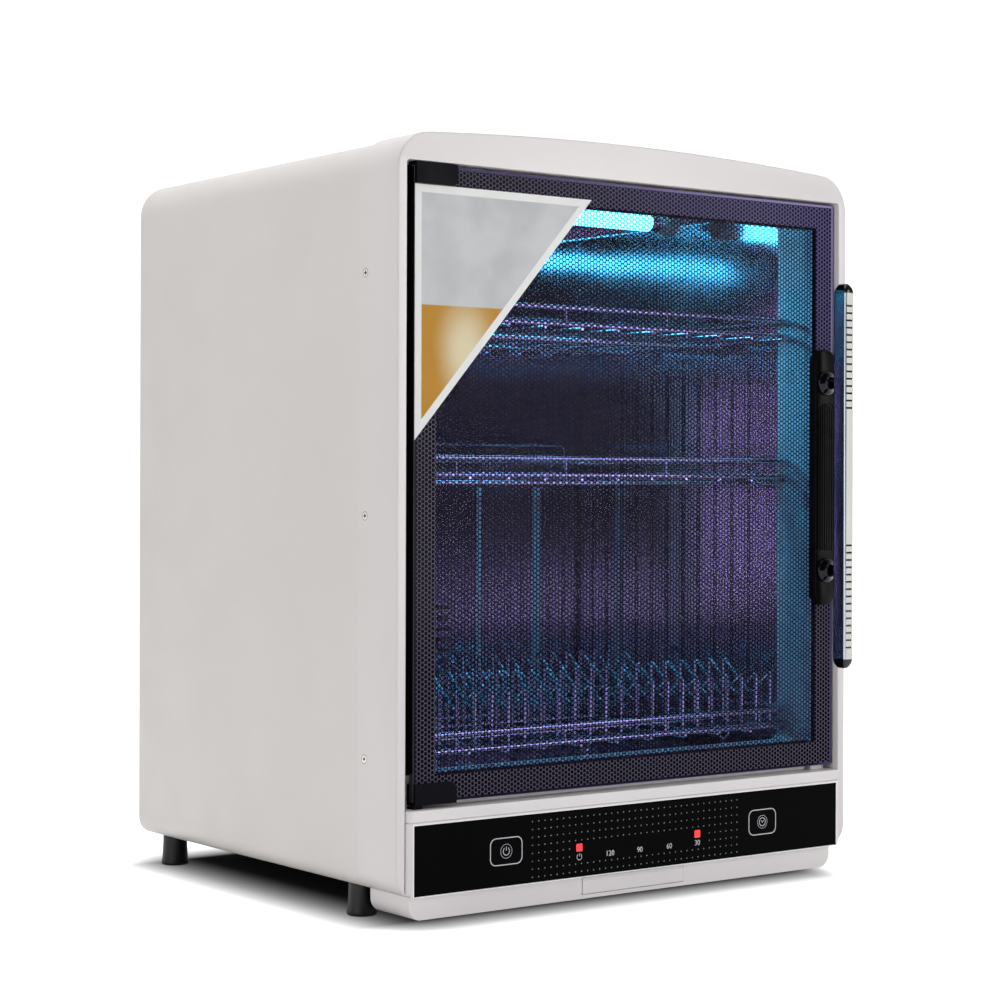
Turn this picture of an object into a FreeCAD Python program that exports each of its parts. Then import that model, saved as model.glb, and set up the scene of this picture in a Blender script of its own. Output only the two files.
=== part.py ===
import FreeCAD, Part
# Ultraviolet dish dryer cabinet: a steel cabinet with a moulded front frame, a hinged glass door,
# three wire racks, a lamp, a warm-air blower and a drip tray.
#
# Frame of reference: X to the right, Y to the back, Z up, in millimetres. The floor is z = 0, x = 0
# is the middle of the cabinet, and y = 0 is halfway between the handle bar and the rearmost piece.
# Every depth below is measured from the front plane of the front frame, and each sub-part is then
# placed at Places.front_y, which carries that plane into the part's own frame.
import math
import os
import re

import Sketcher
from FreeCAD import Placement, Rotation, Vector

os.makedirs("parts", exist_ok=True)
doc = FreeCAD.newDocument("dish_dryer")

# Driving sizes: alias, millimetres or degrees or a count, meaning
SIZES = (
    ("frame_width", 470, "outside width of the front frame"),
    ("frame_depth", 52, "depth of the front frame"),
    ("frame_height", 577.5, "height of the front frame at its shoulders"),
    ("frame_arch", 6.8, "rise of the arched top above the shoulders"),
    ("frame_top_radius", 30, "outside radius of the top corners"),
    ("frame_bottom_radius", 18, "outside radius of the bottom corners"),
    ("frame_wall", 3, "wall of the front frame moulding"),
    ("frame_edge", 2.2, "bevel on the frame's front edge"),
    ("post_width", 8.5, "width of each front post"),
    ("recess_top_bar", 22.5, "height of the bar above the door recess at its shoulders"),
    ("recess_depth", 17, "depth of the door recess"),
    ("recess_radius", 3, "corner radius of the door recess"),
    ("window_jamb", 23, "side of the door recess to the loading window"),
    ("window_sill", 23, "ledge of the control housing to the loading window"),
    ("window_head", 13, "loading window to the top of the door recess"),
    ("window_radius", 8, "corner radius of the loading window"),
    ("collar_wall", 2.5, "wall of the collar round the loading window"),
    ("foot_height", 26, "floor to the underside of the casing"),
    ("foot_radius", 12, "radius of a foot at its flare"),
    ("foot_neck", 10.5, "radius of a foot at its top"),
    ("foot_sides", 16, "straight sides round a foot"),
    ("foot_edge", 25, "middle of a foot to the side of the frame"),
    ("foot_front_depth", 84, "front feet behind the front plane"),
    ("foot_rear_edge", 25, "middle of a rear foot to the casing's rear edge"),
    ("hole_slack", 0.1, "radial clearance of a screw or bush in its hole"),
    ("casing_step", 2, "how far the casing lies inside the frame's outline"),
    ("casing_wall", 1, "sheet of the casing"),
    ("casing_depth", 409, "front plane to the rear edge of the casing"),
    ("casing_top_radius", 29, "outside radius of the casing's top corners"),
    ("casing_bottom_radius", 15, "outside radius of the casing's bottom corners"),
    ("casing_foot_flange", 40, "width of the casing's flange under the cabinet"),
    ("panel_thickness", 1, "sheet of the rear panel and the bottom plate"),
    ("rear_inset", 1, "rear panel inside the casing's rear edge"),
    ("rear_lip", 12, "lip of the casing behind the rear panel"),
    ("bracket_sheet", 1, "sheet of the side brackets"),
    ("bracket_depth", 28, "depth of the side brackets"),
    ("bracket_bottom", 105, "side brackets above the floor"),
    ("bracket_height", 415, "height of the side brackets"),
    ("support_x", 150, "liner supports from the middle plane"),
    ("support_width", 30, "width of a liner support"),
    ("vent_slot", 3, "height of a vent slot"),
    ("vent_pitch", 9, "pitch of the vent slots"),
    ("vent_length", 90, "length of a vent slot"),
    ("vent_count", 9, "vent slots in the air inlet"),
    ("exhaust_count", 5, "vent slots in the exhaust"),
    ("exhaust_height", 520, "lowest exhaust slot above the floor"),
    ("housing_proud", 3.75, "control housing in front of the front plane"),
    ("housing_top", 91.5, "ledge of the control housing above the floor"),
    ("housing_bottom", 26, "underside of the control housing"),
    ("housing_wall", 2.5, "wall of the control housing"),
    ("housing_radius", 4, "round on the control housing's upright edges"),
    ("housing_corner", 2.7, "height of the cut lower corners of the control housing"),
    ("housing_gap", 0.3, "gap between the control housing and each post"),
    ("glass_margin", 5.2, "control glass to each end of the control housing"),
    ("glass_sill", 1, "control glass above the housing's underside"),
    ("glass_head", 11.1, "control glass to the housing's ledge"),
    ("glass_thickness", 2.6, "control glass thickness"),
    ("rib_pitch", 1.5, "pitch of the fine ribs on the ledge"),
    ("rib_count", 5, "fine grooves on the ledge"),
    ("seam_rise", 2, "seam under the ledge above the control glass"),
    ("seam_height", 0.7, "height of the seam under the ledge"),
    ("seam_cut", 1.2, "depth of the seam under the ledge"),
    ("rib_groove", 0.6, "height of a fine groove"),
    ("rib_cut", 0.5, "depth of a fine groove"),
    ("led_half", 2.6, "half width of an indicator light"),
    ("led_height", 50.2, "indicator lights above the floor"),
    ("led_left_x", -62.3, "power light from the middle plane"),
    ("led_right_x", 61.9, "timer light from the middle plane"),
    ("board_height", 40, "control board height"),
    ("board_half", 170, "control board half width"),
    ("board_thickness", 1.6, "circuit board thickness"),
    ("key_height", 53.9, "touch keys above the floor"),
    ("key_left_x", -134.6, "power key from the middle plane"),
    ("key_right_x", 134.6, "timer key from the middle plane"),
    ("key_radius", 8, "half width of the touch pad behind each key"),
    ("plinth_inset", 14.5, "plinth to each side of the frame"),
    ("plinth_bottom", 7.5, "plinth above the floor"),
    ("plinth_front", 4, "plinth front behind the front plane"),
    ("plinth_depth", 52, "depth of the plinth"),
    ("plinth_radius", 11, "radius of the plinth's lower corners"),
    ("plinth_wall", 2.5, "wall of the plinth"),
    ("tray_width", 106, "drip tray width"),
    ("tray_depth", 96, "drip tray depth"),
    ("tray_bottom", 11.2, "drip tray above the floor"),
    ("tray_top", 24.2, "top of the drip tray's front"),
    ("tray_rim", 22.2, "top of the drip tray's walls"),
    ("tray_wall", 1.8, "drip tray wall"),
    ("tray_slack", 0.6, "gap between the drip tray and its slot"),
    ("guide_foot", 5, "width of a tray guide's foot under the tray"),
    ("guide_wall", 1.5, "tray guide sheet"),
    ("liner_step", 2.5, "liner's side beyond the side of the loading window"),
    ("liner_rise", 8, "liner's ceiling above the top of the door recess"),
    ("liner_rear_space", 75, "liner's back to the casing's rear edge"),
    ("liner_wall", 0.8, "sheet of the liner"),
    ("liner_radius", 14, "corner radius of the liner"),
    ("louvre_rise", 35.5, "lowest warm-air slot above the liner's floor"),
    ("louvre_count", 8, "warm-air slots in the liner's back"),
    ("louvre_pitch", 10, "pitch of the warm-air slots"),
    ("louvre_length", 110, "length of a warm-air slot"),
    ("louvre_height", 4, "height of a warm-air slot"),
    ("drain_radius", 7, "bore of the drain in the liner's floor"),
    ("drain_wall", 1.5, "wall of the drain spout"),
    ("drain_depth", 70, "drain behind the front plane"),
    ("rack_side_gap", 6, "rim wire of a rack to the liner's side"),
    ("rack_front", 27, "front wire of a rack behind the front plane"),
    ("rack_rear_gap", 16, "rear wire of a rack to the liner's back"),
    ("rack_drop", 13.3, "upper rim wire to lower rim wire"),
    ("rim_radius", 2, "radius of a rim wire"),
    ("wire_radius", 1.5, "radius of a floor wire"),
    ("post_radius", 1.15, "radius of the posts between the rims"),
    ("rack_wires", 11, "floor wires of a rack"),
    ("rack_corner", 12, "corner radius of a rack's rims"),
    ("rack_backstop", 16, "raised rear wire above the rim"),
    ("rack_brace", 60, "cross wires from the middle of the rack's depth"),
    ("rack_wire_edge", 14, "outermost floor wire inside the rim"),
    ("foot_wire_x", 155, "outer wire feet of the plate rack from the middle plane"),
    ("foot_wire_depth", 105, "wire feet from the middle of the plate rack's depth"),
    ("foot_wire_spread", 12, "width of a wire foot at its top"),
    ("foot_wire_base", 6, "width of a wire foot at its base"),
    ("upper_rack_rise", 364.5, "rim of the upper rack above the liner's floor"),
    ("middle_rack_rise", 243.3, "rim of the middle rack above the liner's floor"),
    ("plate_rack_rise", 29, "rim of the plate rack above the liner's floor"),
    ("rim_post_near", 53.3, "inner rim posts from the middle plane"),
    ("rim_post_far", 160, "outer rim posts from the middle plane"),
    ("divider_pitch", 16.7, "pitch of the plate dividers"),
    ("divider_front", 40, "front leg of the dividers behind the front plane"),
    ("divider_span", 60, "front leg to rear leg of a divider"),
    ("divider_notch", 25, "front leg to the notch of a divider"),
    ("divider_front_rise", 41.5, "top of a divider's front leg above the plate rack's rim"),
    ("divider_notch_rise", 18, "notch of a divider above the plate rack's rim"),
    ("divider_rear_rise", 50.5, "top of a divider's rear leg above the plate rack's rim"),
    ("divider_row_step", 140, "front row of dividers to the rear row"),
    ("rail_rear_gap", 10, "rear end of a rack rail to the liner's back"),
    ("rail_start", 62, "front end of the rack rails behind the front plane"),
    ("rail_width", 7, "width of a rack rail"),
    ("rail_sheet", 1, "sheet of a rack rail"),
    ("rail_lip", 8, "height of a rack rail against the wall"),
    ("slide_gap", 0.3, "running gap under and beside a sliding piece"),
    ("lamp_radius", 8, "radius of the lamp tube"),
    ("lamp_end_gap", 40, "end of the lamp tube to the liner's side"),
    ("lamp_depth", 164, "lamp behind the front plane"),
    ("lamp_drop", 15.5, "lamp below the liner's ceiling"),
    ("reflector_flat", 22, "half width of the reflector's flat middle"),
    ("reflector_drop", 14, "how far the reflector's wings hang down"),
    ("socket_width", 12, "lamp holder along the tube"),
    ("reflector_half", 40, "half width of the reflector"),
    ("reflector_sheet", 0.6, "reflector sheet"),
    ("fan_half", 60, "half size of the fan frame"),
    ("fan_depth", 25, "depth of the fan frame"),
    ("fan_height", 190, "fan axis above the floor"),
    ("fan_wall", 3, "fan frame beside its bore, at the thinnest"),
    ("fan_bore_sides", 24, "straight sides round the bore of the fan frame"),
    ("fan_clearance", 3.2, "tips of the fan blades to the corners of the bore"),
    ("fan_hub", 19, "radius of the fan hub"),
    ("fan_blades", 7, "fan blades"),
    ("blade_tip_angle", 28, "pitch of a fan blade at the tip"),
    ("fan_plate", 3, "thickness of the fan's motor plate and struts"),
    ("fan_strut", 4, "width of a fan strut"),
    ("motor_radius", 14, "fan motor radius"),
    ("motor_length", 8, "fan motor length"),
    ("blade_thickness", 1.6, "fan blade thickness"),
    ("blade_root_chord", 17, "fan blade chord at the hub"),
    ("blade_tip_chord", 27, "fan blade chord at the tip"),
    ("blade_root_angle", 50, "pitch of a fan blade at the hub"),
    ("shaft_slack", 0.05, "radial clearance of a shaft or pin in its bush"),
    ("duct_wall", 0.8, "sheet of the warm-air duct"),
    ("heater_height", 70, "heater height"),
    ("heater_depth", 15, "heater depth"),
    ("heater_fins", 9, "fins of the heater"),
    ("ballast_length", 110, "ballast length"),
    ("ballast_width", 34, "ballast width"),
    ("ballast_height", 28, "ballast height"),
    ("gland_radius", 9, "cord bushing flange radius"),
    ("gland_sides", 20, "straight sides round the cord bushing's flange"),
    ("gland_bore", 4, "cord bushing bore radius"),
    ("gland_proud", 4.5, "cord bushing behind the casing's rear edge"),
    ("gland_x", 150, "cord bushing from the middle plane"),
    ("gland_height", 60, "cord bushing above the floor"),
    ("door_gap_left", 10.2, "door glass to the left side of the recess"),
    ("door_gap_right", 2, "door glass to the right side of the recess"),
    ("door_gap_bottom", 4, "door glass above the housing's ledge"),
    ("door_gap_top", 2, "door glass to the top of the recess"),
    ("door_front", 5, "door glass behind the front plane"),
    ("door_thickness", 5.2, "door glass thickness"),
    ("door_corner", 2, "corner radius of the door glass"),
    ("seal_margin_left", 9.3, "left edge of the door glass to the seal"),
    ("seal_band_left", 10, "width of the seal's left side"),
    ("seal_band_right", 18, "width of the seal's right side"),
    ("seal_margin_right", 2.5, "seal to the right edge of the door glass"),
    ("seal_band_bottom", 15.5, "width of the seal's lower side"),
    ("seal_margin_bottom", 5.5, "lower edge of the door glass to the seal"),
    ("seal_band_top", 19, "width of the seal's upper side"),
    ("seal_margin_top", 2.5, "seal to the upper edge of the door glass"),
    ("seal_gap", 0.3, "door seal to the flange of the frame"),
    ("hinge_inset", 3.3, "door axis from the left edge of the door glass"),
    ("clamp_width", 38.5, "width of a hinge clamp"),
    ("clamp_lap", 14.9, "how far a hinge clamp reaches over the glass"),
    ("clamp_cheek", 3, "cheek of a hinge clamp"),
    ("clamp_web", 1.4, "hinge clamp beyond the edge of the glass"),
    ("clamp_fit", 0.05, "hinge clamp to the glass"),
    ("pin_radius", 2.2, "door pin radius"),
    ("pin_length", 9, "door pin length"),
    ("bush_half", 4.2, "half width of a pivot bush"),
    ("bush_length", 9, "pivot bush length"),
    ("handle_inset", 16, "handle from the right edge of the door glass"),
    ("handle_base_width", 24, "handle base plate width"),
    ("handle_base_bottom", 234, "handle base plate above the floor"),
    ("handle_base_top", 453.5, "top of the handle base plate"),
    ("handle_base_proud", 3, "handle base plate in front of the front plane"),
    ("handle_post_low", 263.9, "lower handle post above the floor"),
    ("handle_pitch", 160.7, "pitch of the handle posts"),
    ("knob_radius", 10.5, "radius of the round foot of a handle post"),
    ("knob_height", 6, "height of the round foot of a handle post"),
    ("neck_radius", 4.8, "radius of a handle post at the bar"),
    ("post_sides", 20, "straight sides round a handle post"),
    ("bar_width", 10.5, "handle bar width"),
    ("bar_depth", 15.5, "handle bar depth"),
    ("bar_bottom", 181.1, "handle bar above the floor, caps included"),
    ("bar_top", 508.6, "top of the handle bar, caps included"),
    ("bar_cap", 8, "height of a handle bar cap"),
    ("bar_round", 2.5, "round on the handle bar's upright edges"),
    ("handle_reach", 31.6, "handle bar front in front of the front plane"),
    ("inlay_width", 7.5, "light strip on the handle bar"),
    ("inlay_thickness", 1.2, "thickness of the light strip"),
    ("grip_count", 15, "grip ridges at each end of the bar"),
    ("grip_pitch", 6.4, "pitch of the grip ridges"),
    ("grip_height", 2, "height of a grip ridge"),
    ("grip_inset", 14, "first grip ridge from the end of the bar"),
    ("label_thickness", 0.3, "door label thickness"),
    ("label_width", 171.4, "left edge of the door glass to the label's right corner"),
    ("label_height", 193.7, "height of the door label"),
    ("label_drop", 15.1, "upper edge of the door glass to the label"),
    ("catch_inset", 11, "magnet catch from the right edge of the door glass"),
    ("catch_width", 15, "magnet catch width"),
    ("catch_height", 8, "magnet catch height"),
    ("strike_thickness", 1.5, "strike plate thickness"),
    ("strike_gap", 0.3, "magnet catch to the strike plate"),
    ("switch_width", 11, "door switch body width"),
    ("switch_tall", 20, "door switch body height"),
    ("switch_deep", 13, "door switch body depth"),
    ("plunger_length", 12, "door switch plunger length"),
    ("washer_height", 2.3, "collar of the lower pivot bush above the ledge"),
    ("clamp_round", 5, "round on the inner corners of a hinge clamp"),
    ("base_ribs", 21, "fine ribs on the handle base plate"),
    ("base_rib_pitch", 5.6, "pitch of the fine ribs on the handle base plate"),
    ("board_length", 100, "power board length"),
    ("board_width", 70, "power board width"),
    ("board_standoff", 6, "power board above the bottom plate"),
    ("board_left", 20, "left edge of the power board from the middle plane"),
    ("board_depth", 180, "front edge of the power board behind the front plane"),
    ("ballast_left", -120, "left end of the ballast from the middle plane"),
    ("ballast_depth", 190, "front of the ballast behind the front plane"),
    ("cutout_radius", 7, "thermal cut-out radius"),
    ("cutout_thickness", 6, "thermal cut-out thickness"),
    ("cutout_rise", 85, "thermal cut-out above the fan's axis"),
    ("switch_height", 340, "door switch above the floor"),
    ("switch_inset", 12.5, "door switch from the side of the recess"),
    ("plunger_half", 2.2, "half width of the door switch plunger"),
    ("plunger_slack", 0.3, "plunger to the hole it slides in"),
)

# Places worked out from the sizes: alias, formula
PLACES = (
    ("rearmost", "casing_depth + gland_proud"),
    ("front_y", "(handle_reach - rearmost) / 2"),
    ("frame_half", "frame_width / 2"),
    ("frame_bottom", "foot_height"),
    ("frame_shoulder", "frame_bottom + frame_height"),
    ("frame_crown", "frame_shoulder + frame_arch"),
    ("opening_half", "frame_half - post_width"),
    ("opening_top", "frame_shoulder - recess_top_bar"),
    ("casing_half", "frame_half - casing_step"),
    ("casing_top", "frame_shoulder - casing_step"),
    ("rear_face", "casing_depth - rear_inset"),
    ("rear_inner", "rear_face - panel_thickness"),
    ("floor_plate", "foot_height + casing_wall"),
    ("housing_half", "opening_half - housing_gap"),
    ("glass_back", "glass_thickness - housing_proud"),
    ("board_front", "glass_back + 8"),
    ("window_half", "opening_half - window_jamb"),
    ("window_bottom", "housing_top + window_sill"),
    ("window_top", "opening_top - window_head"),
    ("glass_half", "housing_half - glass_margin"),
    ("glass_bottom", "housing_bottom + glass_sill"),
    ("glass_top", "housing_top - glass_head"),
    ("plinth_half", "frame_half - plinth_inset"),
    ("foot_inset_x", "frame_half - foot_edge"),
    ("foot_rear_depth", "casing_depth - foot_rear_edge"),
    ("liner_half", "window_half + liner_step"),
    ("liner_bottom", "window_bottom"),
    ("liner_top", "opening_top + liner_rise"),
    ("liner_back", "casing_depth - liner_rear_space"),
    ("rack_half", "liner_half - rack_side_gap"),
    ("rack_back", "liner_back - rack_rear_gap"),
    ("upper_rack_top", "liner_bottom + upper_rack_rise"),
    ("middle_rack_top", "liner_bottom + middle_rack_rise"),
    ("plate_rack_top", "liner_bottom + plate_rack_rise"),
    ("divider_front_top", "plate_rack_top + divider_front_rise"),
    ("divider_notch_top", "plate_rack_top + divider_notch_rise"),
    ("divider_rear_top", "plate_rack_top + divider_rear_rise"),
    ("rail_depth", "liner_back - rail_rear_gap - rail_start"),
    ("lamp_height", "liner_top - lamp_drop"),
    ("louvre_bottom", "liner_bottom + louvre_rise"),
    ("door_left", "door_gap_left - opening_half"),
    ("door_right", "opening_half - door_gap_right"),
    ("door_bottom", "housing_top + door_gap_bottom"),
    ("door_top", "opening_top - door_gap_top"),
    ("seal_left", "door_left + seal_margin_left"),
    ("seal_inner_left", "seal_left + seal_band_left"),
    ("seal_inner_right", "seal_outer_right - seal_band_right"),
    ("seal_outer_right", "door_right - seal_margin_right"),
    ("seal_inner_bottom", "seal_outer_bottom + seal_band_bottom"),
    ("seal_outer_bottom", "door_bottom + seal_margin_bottom"),
    ("seal_inner_top", "seal_outer_top - seal_band_top"),
    ("seal_outer_top", "door_top - seal_margin_top"),
    ("hinge_x", "door_left + hinge_inset"),
    ("handle_x", "door_right - handle_inset"),
    ("label_right", "door_left + label_width"),
    ("label_top", "door_top - label_drop"),
    ("label_bottom", "label_top - label_height"),
    ("catch_x", "door_right - catch_inset"),
    ("switch_x", "opening_half - switch_inset"),
    ("lamp_half", "liner_half - lamp_end_gap"),
    ("cutout_height", "fan_height + cutout_rise"),
    ("divider_count", "floor(2 * (rack_half - rack_wire_edge) / divider_pitch) + 1"),
    ("tray_front", "plinth_front - 0.5"),
    ("tray_half", "tray_width / 2"),
    ("door_back", "door_front + door_thickness"),
    ("seal_back", "recess_depth - seal_gap"),
    ("pivot_depth", "door_front + door_thickness / 2"),
    ("clamp_right", "door_left + clamp_width"),
    ("bar_front", "-handle_reach"),
    ("bar_back", "bar_depth - handle_reach"),
    ("bar_left", "handle_x - bar_width / 2"),
    ("handle_post_high", "handle_post_low + handle_pitch"),
    ("liner_rear", "liner_back + liner_wall"),
    ("fan_front", "rear_inner - fan_depth"),
    ("fan_bore", "fan_half - fan_wall"),
    ("fan_tip", "fan_bore - fan_clearance"),
    ("motor_back", "rear_inner - fan_plate"),
    ("blade_middle", "fan_front + 9"),
    ("plate_top", "floor_plate + panel_thickness"),
    ("cheek_front", "door_front - clamp_fit - clamp_cheek"),
    ("cheek_back", "door_back + clamp_fit + clamp_cheek"),
    ("plunger_tip", "seal_back + 0.25"),
)


def fill_sheet(name, rows, lead):
    """One sheet: a name, a number or a formula, and a meaning in each row."""
    sheet = doc.addObject("Spreadsheet::Sheet", name)
    for row, entry in enumerate(rows, start=1):
        alias, content = entry[0], entry[1]
        sheet.set(f"A{row}", alias)
        sheet.set(f"B{row}", lead(content))
        sheet.setAlias(f"B{row}", alias)
        if len(entry) > 2:
            sheet.set(f"C{row}", entry[2])
    return sheet


SIZE_NAMES = {entry[0] for entry in SIZES}
PLACE_NAMES = {entry[0] for entry in PLACES}


def formula(text):
    """The text with each size and place pointed at its sheet."""
    def point(match):
        word = match.group(0)
        if word in SIZE_NAMES:
            return "Sizes." + word
        if word in PLACE_NAMES:
            return "Places." + word
        return word
    return re.sub(r"[A-Za-z_]\w*", point, str(text))


sizes = fill_sheet("Sizes", SIZES, str)
places = fill_sheet("Places", PLACES, lambda text: "=" + formula(text).replace("Places.", ""))
reader = doc.addObject("Spreadsheet::Sheet", "Reader")
doc.recompute()


def value(text):
    """The number that a formula gives now."""
    reader.set("A1", "=" + formula(text))
    reader.recompute()
    return float(reader.get("A1"))


def at(x="0", y="0", z="0"):
    """A point whose coordinates are given as formulas."""
    return Vector(value(x), value(y), value(z))


def bind(obj, prop, text):
    """Tie one property of an object to a formula."""
    obj.setExpression(prop, formula(text))


AXIS_TURNS = {
    "x": Rotation(Vector(0, 1, 0), 90),
    "y": Rotation(Vector(1, 0, 0), -90),
    "z": Rotation(),
}

# Each object's place in front-plane coordinates, kept until it becomes a sub-part
own_place = {}


def put(obj, x, y, z, turn=None):
    """Place an object at three formulas."""
    obj.Placement = Placement(Vector(), turn or Rotation())
    for letter, text in (("x", x), ("y", y), ("z", z)):
        bind(obj, "Placement.Base." + letter, text)
    own_place[obj.Name] = y
    return obj


def block(name, x, y, z, dx, dy, dz):
    """A box from its low corner and its three sizes."""
    box = doc.addObject("Part::Box", name)
    bind(box, "Length", dx)
    bind(box, "Width", dy)
    bind(box, "Height", dz)
    return put(box, x, y, z)


def rod(name, axis, radius, length, x, y, z):
    """A cylinder along an axis, from the middle of its first end."""
    cylinder = doc.addObject("Part::Cylinder", name)
    bind(cylinder, "Radius", radius)
    bind(cylinder, "Height", length)
    return put(cylinder, x, y, z, AXIS_TURNS[axis])


def prism(name, axis, sides, radius, length, x, y, z):
    """A bar with flat sides along an axis, from the middle of its first end."""
    shape = doc.addObject("Part::Prism", name)
    bind(shape, "Polygon", sides)
    bind(shape, "Circumradius", radius)
    bind(shape, "Height", length)
    return put(shape, x, y, z, AXIS_TURNS[axis])


def join(name, *pieces):
    """Several solids fused into one."""
    fused = doc.addObject("Part::MultiFuse", name)
    fused.Shapes = list(pieces)
    return fused


def group(name, *pieces):
    """Several solids that stay apart in one sub-part."""
    compound = doc.addObject("Part::Compound", name)
    compound.Links = list(pieces)
    return compound


def cut(name, base, *tools):
    """A solid with others taken out of it."""
    tool = tools[0] if len(tools) == 1 else join(name + "_tools", *tools)
    result = doc.addObject("Part::Cut", name)
    result.Base = base
    result.Tool = tool
    return result


# The finished sub-parts, by name
nodes = {}


def node(name, obj):
    """Name a sub-part and carry it from the front plane into the part's frame."""
    obj.Label = name
    bind(obj, "Placement.Base.y", "front_y + (" + own_place.get(obj.Name, "0") + ")")
    nodes[name] = obj
    return obj


def shape_node(name, shape):
    """A sub-part whose shape is made with Part's own functions."""
    feature = doc.addObject("Part::Feature", name)
    feature.Shape = shape
    feature.Placement = Placement(Vector(0, value("front_y"), 0), Rotation()) * shape.Placement
    feature.Label = name
    nodes[name] = feature
    return feature


def origin_plane(body, role):
    """One of a body's own origin planes."""
    for feature in body.Origin.OriginFeatures:
        if feature.Role == role:
            return feature
    raise RuntimeError("no plane " + role)


def new_body(name):
    return doc.addObject("PartDesign::Body", name)


def new_sketch(body, role, name, offset="0"):
    """A sketch on a body's own origin plane, moved along the plane's normal by a formula."""
    sketch = body.newObject("Sketcher::SketchObject", name)
    sketch.AttachmentSupport = [(origin_plane(body, role), "")]
    sketch.MapMode = "FlatFace"
    bind(sketch, "AttachmentOffset.Base.z", offset)
    return sketch


def hold(sketch, index, point, x, z):
    """Hold one point of a sketch at two formulas."""
    for kind, text in (("DistanceX", x), ("DistanceY", z)):
        number = sketch.addConstraint(Sketcher.Constraint(kind, -1, 1, index, point, value(text)))
        sketch.setExpression(f"Constraints[{number}]", formula(text))


def draw_outline(sketch, corners):
    """A closed outline of straight lines through corners given as pairs of formulas."""
    points = [Vector(value(x), value(z), 0) for x, z in corners]
    first = sketch.GeometryCount
    count = len(points)
    for index in range(count):
        end = points[(index + 1) % count]
        sketch.addGeometry(Part.LineSegment(points[index], end), False)
    for index in range(count):
        after = first + (index + 1) % count
        sketch.addConstraint(Sketcher.Constraint("Coincident", first + index, 2, after, 1))
    for index, (x, z) in enumerate(corners):
        hold(sketch, first + index, 1, x, z)


def draw_rounded(sketch, left, right, low, high, radii):
    """A rectangle with its corners rounded, radii given from lower left, anticlockwise."""
    edges = {"left": value(left), "right": value(right), "low": value(low), "high": value(high)}
    rounds = [value(radius) for radius in radii]
    centres = (
        Vector(edges["left"] + rounds[0], edges["low"] + rounds[0], 0),
        Vector(edges["right"] - rounds[1], edges["low"] + rounds[1], 0),
        Vector(edges["right"] - rounds[2], edges["high"] - rounds[2], 0),
        Vector(edges["left"] + rounds[3], edges["high"] - rounds[3], 0),
    )
    first = sketch.GeometryCount
    starts = (math.pi, 1.5 * math.pi, 0, 0.5 * math.pi)
    for centre, radius, start in zip(centres, rounds, starts):
        circle = Part.Circle(centre, Vector(0, 0, 1), radius)
        sketch.addGeometry(Part.ArcOfCircle(circle, start, start + math.pi / 2), False)
    arcs = range(first, first + 4)
    for index in range(4):
        here = sketch.Geometry[first + index]
        after = sketch.Geometry[first + (index + 1) % 4]
        sketch.addGeometry(Part.LineSegment(here.EndPoint, after.StartPoint), False)
    for index, arc in enumerate(arcs):
        line = first + 4 + index
        following = first + (index + 1) % 4
        sketch.addConstraint(Sketcher.Constraint("Tangent", arc, 2, line, 1))
        sketch.addConstraint(Sketcher.Constraint("Tangent", line, 2, following, 1))
        way = "Horizontal" if index % 2 == 0 else "Vertical"
        sketch.addConstraint(Sketcher.Constraint(way, line))
        number = sketch.addConstraint(Sketcher.Constraint("Radius", arc, rounds[index]))
        sketch.setExpression(f"Constraints[{number}]", formula(radii[index]))
    for kind, line, text in (
        ("DistanceY", first + 4, low),
        ("DistanceX", first + 5, right),
        ("DistanceY", first + 6, high),
        ("DistanceX", first + 7, left),
    ):
        number = sketch.addConstraint(Sketcher.Constraint(kind, -1, 1, line, 1, value(text)))
        sketch.setExpression(f"Constraints[{number}]", formula(text))


def pad(body, sketch, name, length, reverse=False):
    feature = body.newObject("PartDesign::Pad", name)
    feature.Profile = sketch
    feature.Reversed = reverse
    bind(feature, "Length", length)
    return feature


def pocket(body, sketch, name, length, reverse=False):
    feature = body.newObject("PartDesign::Pocket", name)
    feature.Profile = sketch
    feature.Reversed = reverse
    bind(feature, "Length", length)
    return feature


def draw_plate(sketch, left, right, low, high, radii):
    """A rectangle, with rounded corners where radii are given."""
    if radii:
        draw_rounded(sketch, left, right, low, high, radii)
    else:
        draw_outline(sketch, ((left, low), (right, low), (right, high), (left, high)))


def rounded_plate(name, left, right, low, high, radii, front, thickness):
    """A body: an upright plate with rounded corners, from front, towards the back."""
    body = new_body(name)
    sketch = new_sketch(body, "XZ_Plane", name + "_outline", "-(" + front + ")")
    draw_plate(sketch, left, right, low, high, radii)
    pad(body, sketch, name + "_pad", thickness, reverse=True)
    return body


def window(body, name, left, right, low, high, radii, front, depth):
    """An upright rounded pocket in a body, from front, towards the back."""
    sketch = new_sketch(body, "XZ_Plane", name + "_outline", "-(" + front + ")")
    draw_plate(sketch, left, right, low, high, radii)
    return pocket(body, sketch, name, depth, reverse=False)


def cut_through(body, name, left, right, low, high, radii, front, back):
    """A rounded upright opening in a body, between two depths."""
    return window(body, name, left, right, low, high, radii, front, f"({back}) - ({front})")


def edges_where(shape, test):
    """Names of a shape's edges whose ends and middle all pass a test."""
    names = []
    for index, edge in enumerate(shape.Edges, start=1):
        middle = edge.valueAt((edge.FirstParameter + edge.LastParameter) / 2)
        points = [vertex.Point for vertex in edge.Vertexes] + [middle]
        if all(test(point) for point in points):
            names.append(f"Edge{index}")
    return names


def dress_edges(body, kind, name, prop, size, test):
    """Fillet or chamfer the edges of a body's last feature that pass a test."""
    doc.recompute()
    base = body.Tip
    names = edges_where(base.Shape, test)
    feature = body.newObject("PartDesign::" + kind, name)
    feature.Base = (base, names)
    bind(feature, prop, size)
    return feature


# Front frame and control housing

ARCH_RADIUS = "((frame_half - frame_top_radius)^2 + frame_arch^2) / (2 * frame_arch)"


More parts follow.
